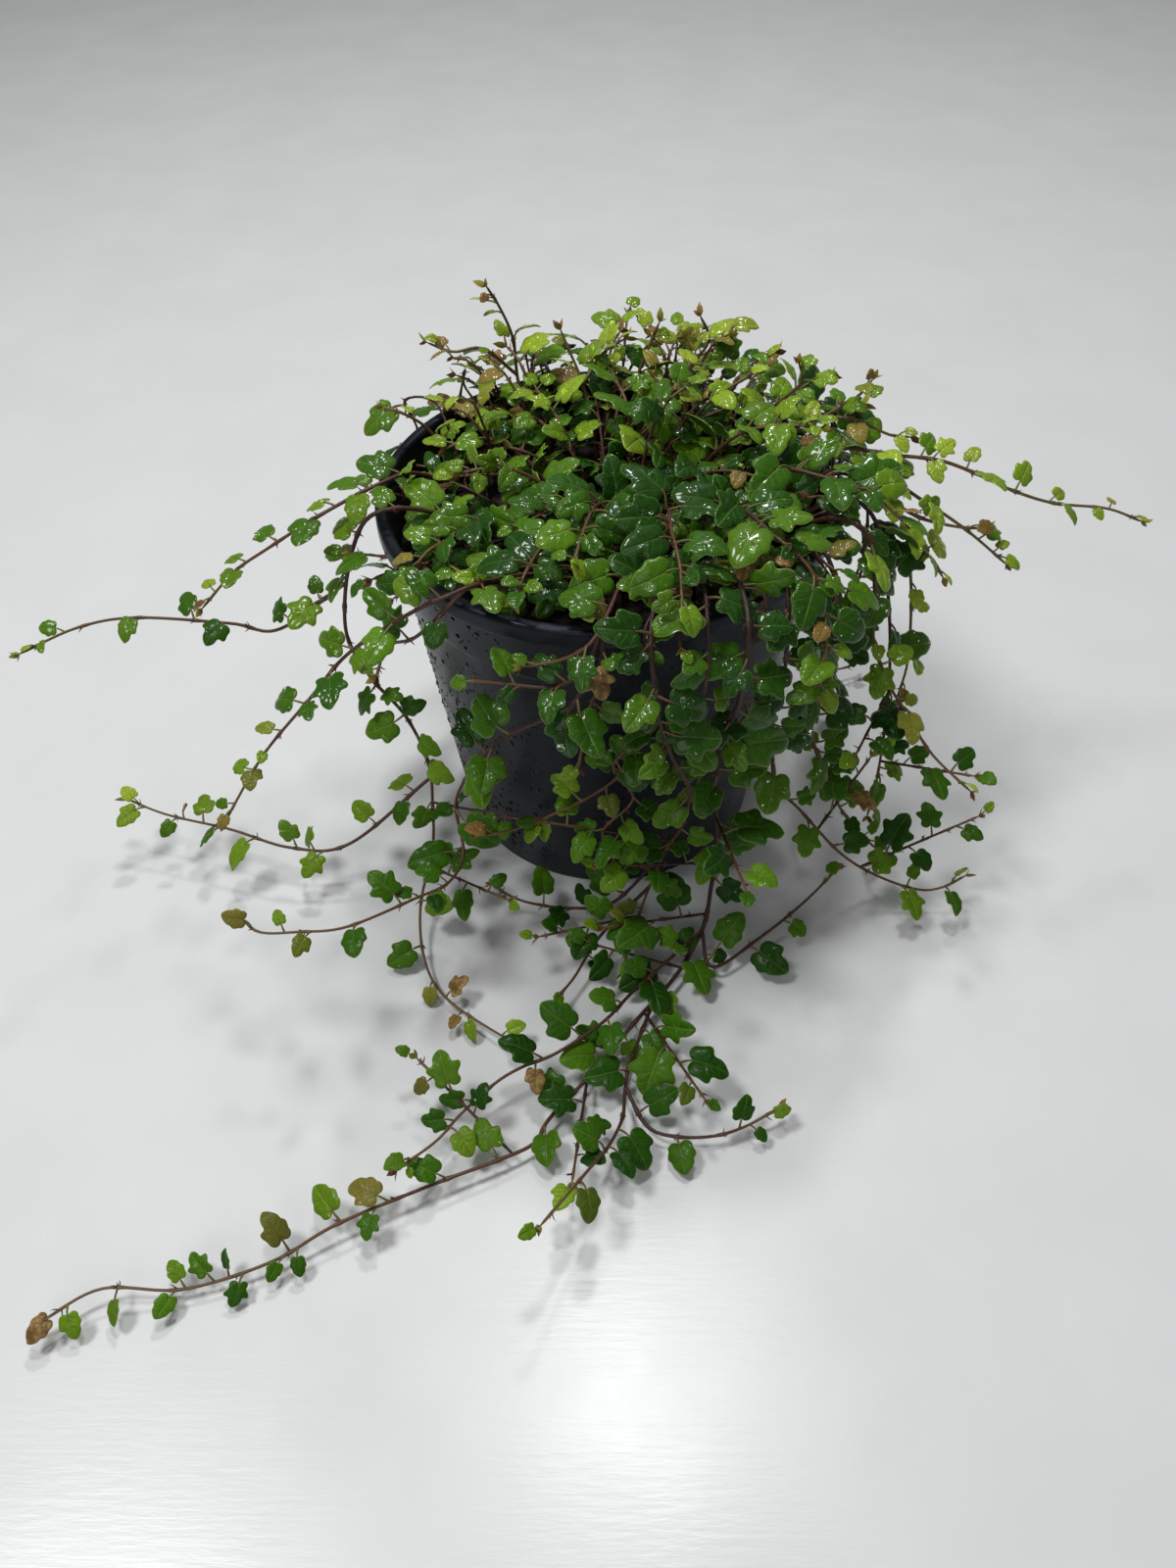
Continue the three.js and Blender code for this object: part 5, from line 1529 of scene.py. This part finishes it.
# %% Water
BIG_BEAD = 0.8
BIG_DOME, SMALL_DOME = (10, 3), (6, 2)
BEAD_SINK = 0.08
BEAD_REACH, BEAD_PROBE, BEAD_LEAST_UP = 0.86, 0.03, 0.05
POT_REACH, POT_FROM = 125, 60
BIG_BEAD_CHANCE, BEAD_MOST = 0.08, 0.11


def mix_water_finish():
    paint = Paint("water", Transmission_Weight=1.0, IOR=1.333)
    ripple = paint.noise(1.0, 1.0)
    paint.set("Base Color", paint.ramp(ripple, (0.0, (0.96, 0.98, 0.97)), (1.0, (1.0, 1.0, 1.0))))
    paint.set("Roughness", paint.step(ripple, 0.0, 1.0, 0.0, 0.03))
    paint.bump(ripple, 0.01)
    return paint.material


def add_bead(bundle, centre, normal, radius, flatness, stretch=1.0, down=None):
    side = unit(np.cross(normal, (0.3, 0.2, 0.93)))
    if down is not None:
        side = unit(down - normal * np.dot(down, normal))
    other = np.cross(normal, side)
    sides, rings = BIG_DOME if radius > BIG_BEAD else SMALL_DOME
    rows = []
    for ring in range(rings):
        tilt = math.pi / 2 * ring / rings
        for i in range(sides):
            angle = 2 * math.pi * (i + 0.5 * (ring % 2)) / sides
            reach = radius * math.cos(tilt)
            spot = centre + side * reach * math.cos(angle) * stretch
            spot = spot + other * reach * math.sin(angle)
            rows.append(spot + normal * (radius * flatness * math.sin(tilt) - BEAD_SINK * radius))
    rows.append(centre + normal * radius * (flatness - BEAD_SINK))
    faces = tube_faces(rings, sides)[:-1]
    top, last = (rings - 1) * sides, len(rows) - 1
    faces += [(top + i, top + (i + 1) % sides, last) for i in range(sides)]
    bundle.add(rows, faces)


def bead_on_leaf(bundle, pose, shape, draw, radius):
    """Sets a bead on the upper face at a drawn place, if that place faces up enough to hold it."""
    template = TEMPLATES[pose.form][0]
    edge = template[-OUTLINE_POINTS:][int(draw() * OUTLINE_POINTS)]
    reach = BEAD_REACH * math.sqrt(draw())
    u, v = BLADE_CENTRE + (edge[:2] - BLADE_CENTRE) * reach
    along, out = np.array([u, u + BEAD_PROBE, u]), np.array([v, v, v + BEAD_PROBE])
    spots = blade_points(pose, shape, along, out, np.full(3, reach), np.full(3, edge[3]))
    normal = unit(np.cross(spots[1] - spots[0], spots[2] - spots[0]))
    if normal[2] < BEAD_LEAST_UP:
        return False
    add_bead(bundle, spots[0], normal, radius, 0.42 + 0.2 * draw())
    return True


water_finish = mix_water_finish()
leaf_water = Bundle()
beads = 0
for leaf, pose, shape in blade_tops:
    draw = draws(int(leaf.seed * 131 + leaf.place * 17 + 3))
    on_pot = math.hypot(pose.neck[0], pose.neck[1]) < POT_REACH and pose.neck[2] > POT_FROM
    wanted = (2 + 9 * shape["wet"] ** 1.5) if on_pot else 2.2 * shape["wet"]
    for _ in range(int(wanted * min(1.2, pose.size / 13))):
        radius = 0.24 + 0.55 * draw() ** 2
        if on_pot and draw() < BIG_BEAD_CHANCE:
            radius = 0.9 + 0.8 * draw()
        radius = min(radius, pose.size * BEAD_MOST)
        beads += bead_on_leaf(leaf_water, pose, shape, draw, radius)
leaf_beads = leaf_water.piece("leaf_beads", [water_finish])
print(beads, "beads on the leaves")

# %% Beads on the pot
WALL_TRIES, SPRAYED_TRIES = 620, 900
SPRAYED_FROM, SPRAYED_TO = math.radians(160), math.radians(250)
WALL_BEADS_FROM, WALL_BEADS_UNDER = 6, 10
SHOULDER_BARE = 3
DRY_SPRAYED, DRY_PLAIN, DRY_SPREAD = -0.4, -0.12, 0.25
WALL_BEAD_FLATNESS = 0.55
DOWN = np.array([0, 0, -1.0])


def mix_wall_water_finish():
    """Water on black plastic shows black: it takes the wall's sheen away and adds a sharp glint."""
    paint = Paint("water_on_plastic", IOR=1.333)
    ripple = paint.noise(1.0, 1.0)
    paint.set("Base Color", paint.ramp(ripple, (0.3, (0.0025, 0.0028, 0.0040)),
                                       (0.7, (0.0040, 0.0044, 0.0060))))
    paint.set("Roughness", paint.step(ripple, 0.0, 1.0, 0.02, 0.06))
    paint.bump(ripple, 0.01)
    return paint.material


wall_water = Bundle()
draw = draws(4242)
for i in range(WALL_TRIES + SPRAYED_TRIES):
    sprayed = i >= WALL_TRIES
    angle = 2 * math.pi * draw()
    if sprayed:
        angle = SPRAYED_FROM + (SPRAYED_TO - SPRAYED_FROM) * angle / (2 * math.pi)
    height = WALL_BEADS_FROM + (POT_HEIGHT - LIP_DEPTH - WALL_BEADS_UNDER) * draw()
    clump = noise.noise(Vector((math.cos(angle) * 2, math.sin(angle) * 2, height / 30)))
    if clump < (DRY_SPRAYED if sprayed else DRY_PLAIN) + DRY_SPREAD * draw():
        continue
    normal = unit(np.array([math.cos(angle), math.sin(angle), -WALL_SLOPE]))
    radius = outer_radius(height)
    if abs(height - (POT_HEIGHT - SHOULDER_DROP)) < SHOULDER_BARE:
        continue
    centre = np.array([radius * math.cos(angle), radius * math.sin(angle), height])
    long = 1 + (1.2 * draw() if draw() < 0.25 else 0)
    add_bead(wall_water, centre, normal, 0.3 + 0.75 * draw() ** 2, WALL_BEAD_FLATNESS, long, DOWN)
wall_beads = wall_water.piece("pot_beads", [mix_wall_water_finish()])
for beads_piece in (leaf_beads, wall_beads):
    beads_piece.visible_shadow = False
print("water triangles:", triangles_in([leaf_beads, wall_beads]))

# %% [markdown]
# ## Floor and light
#
# A pale painted board, a little glossy, as under the plant in the photograph. Its shadows fall
# three ways, so three small lamps hang where those shadows point back to. A fourth lamp, wide and
# soft, on the viewer's side and a pale world fill in the rest. One big soft box would be simpler
# and would lose the glints on the wet leaves.

# %% Stage
def mix_floor_finish():
    paint = Paint("painted_board", IOR=1.45)
    cloud = paint.noise(60.0, 3.0)
    brush = paint.noise(2.0, 3.0, 0.6, (0.15, 1, 1))
    paint.set("Base Color", paint.ramp(cloud, (0.3, (0.745, 0.755, 0.76)),
                                       (0.7, (0.775, 0.785, 0.79))))
    paint.set("Roughness", paint.step(cloud, 0.3, 0.7, 0.23, 0.29))
    paint.bump(brush, 0.05)
    return paint.material


FLOOR_HALF = 3.0
floor_corners = [(x * FLOOR_HALF, y * FLOOR_HALF, 0)
                 for x, y in ((-1, -1), (1, -1), (1, 1), (-1, 1))]
floor_mesh = bpy.data.meshes.new("floor")
floor_mesh.from_pydata(floor_corners, [], [(0, 1, 2, 3)])
floor_mesh.materials.append(mix_floor_finish())
floor = bpy.data.objects.new("floor", floor_mesh)
bpy.context.scene.collection.objects.link(floor)

LAMP_AIM = (0, 0, 0.1)
WORLD_STRENGTH = 0.15
LAMPS = [("lamp_over", (0.03, 0.20, 1.50), 0.20, 4.8),
         ("lamp_behind", (0.08, 0.85, 1.45), 0.16, 6.4),
         ("lamp_left", (-0.62, -0.18, 1.45), 0.34, 9.4),
         ("lamp_front", (-0.30, -1.30, 0.95), 0.90, 3.2)]
for name, place, size, power in LAMPS:
    lamp = bpy.data.lights.new(name, "AREA")
    lamp.shape = "DISK"
    lamp.size = size
    lamp.energy = power
    lamp_object = bpy.data.objects.new(name, lamp)
    lamp_object.location = place
    aim = Vector(LAMP_AIM) - Vector(place)
    lamp_object.rotation_euler = aim.to_track_quat("-Z", "Y").to_euler()
    bpy.context.scene.collection.objects.link(lamp_object)

world = bpy.data.worlds.new("pale room")
world.use_nodes = True
background = world.node_tree.nodes["Background"]
background.inputs["Color"].default_value = (1.0, 1.0, 1.0, 1)
background.inputs["Strength"].default_value = WORLD_STRENGTH
bpy.context.scene.world = world
bpy.context.scene.view_settings.view_transform = "Standard"
print(len(LAMPS), "lamps")

# %% [markdown]
# ## Measure and finish
#
# The extra leaves are kept inside the CAD model's box, apart from a small allowance. The
# dressed plant has to stay in the CAD model's box, apart from a small allowance. The CAD
# model's box is printed once more here.

# %% Finish
print("CAD box ", [[round(v, 4) for v in corner] for corner in CAD_BOX])
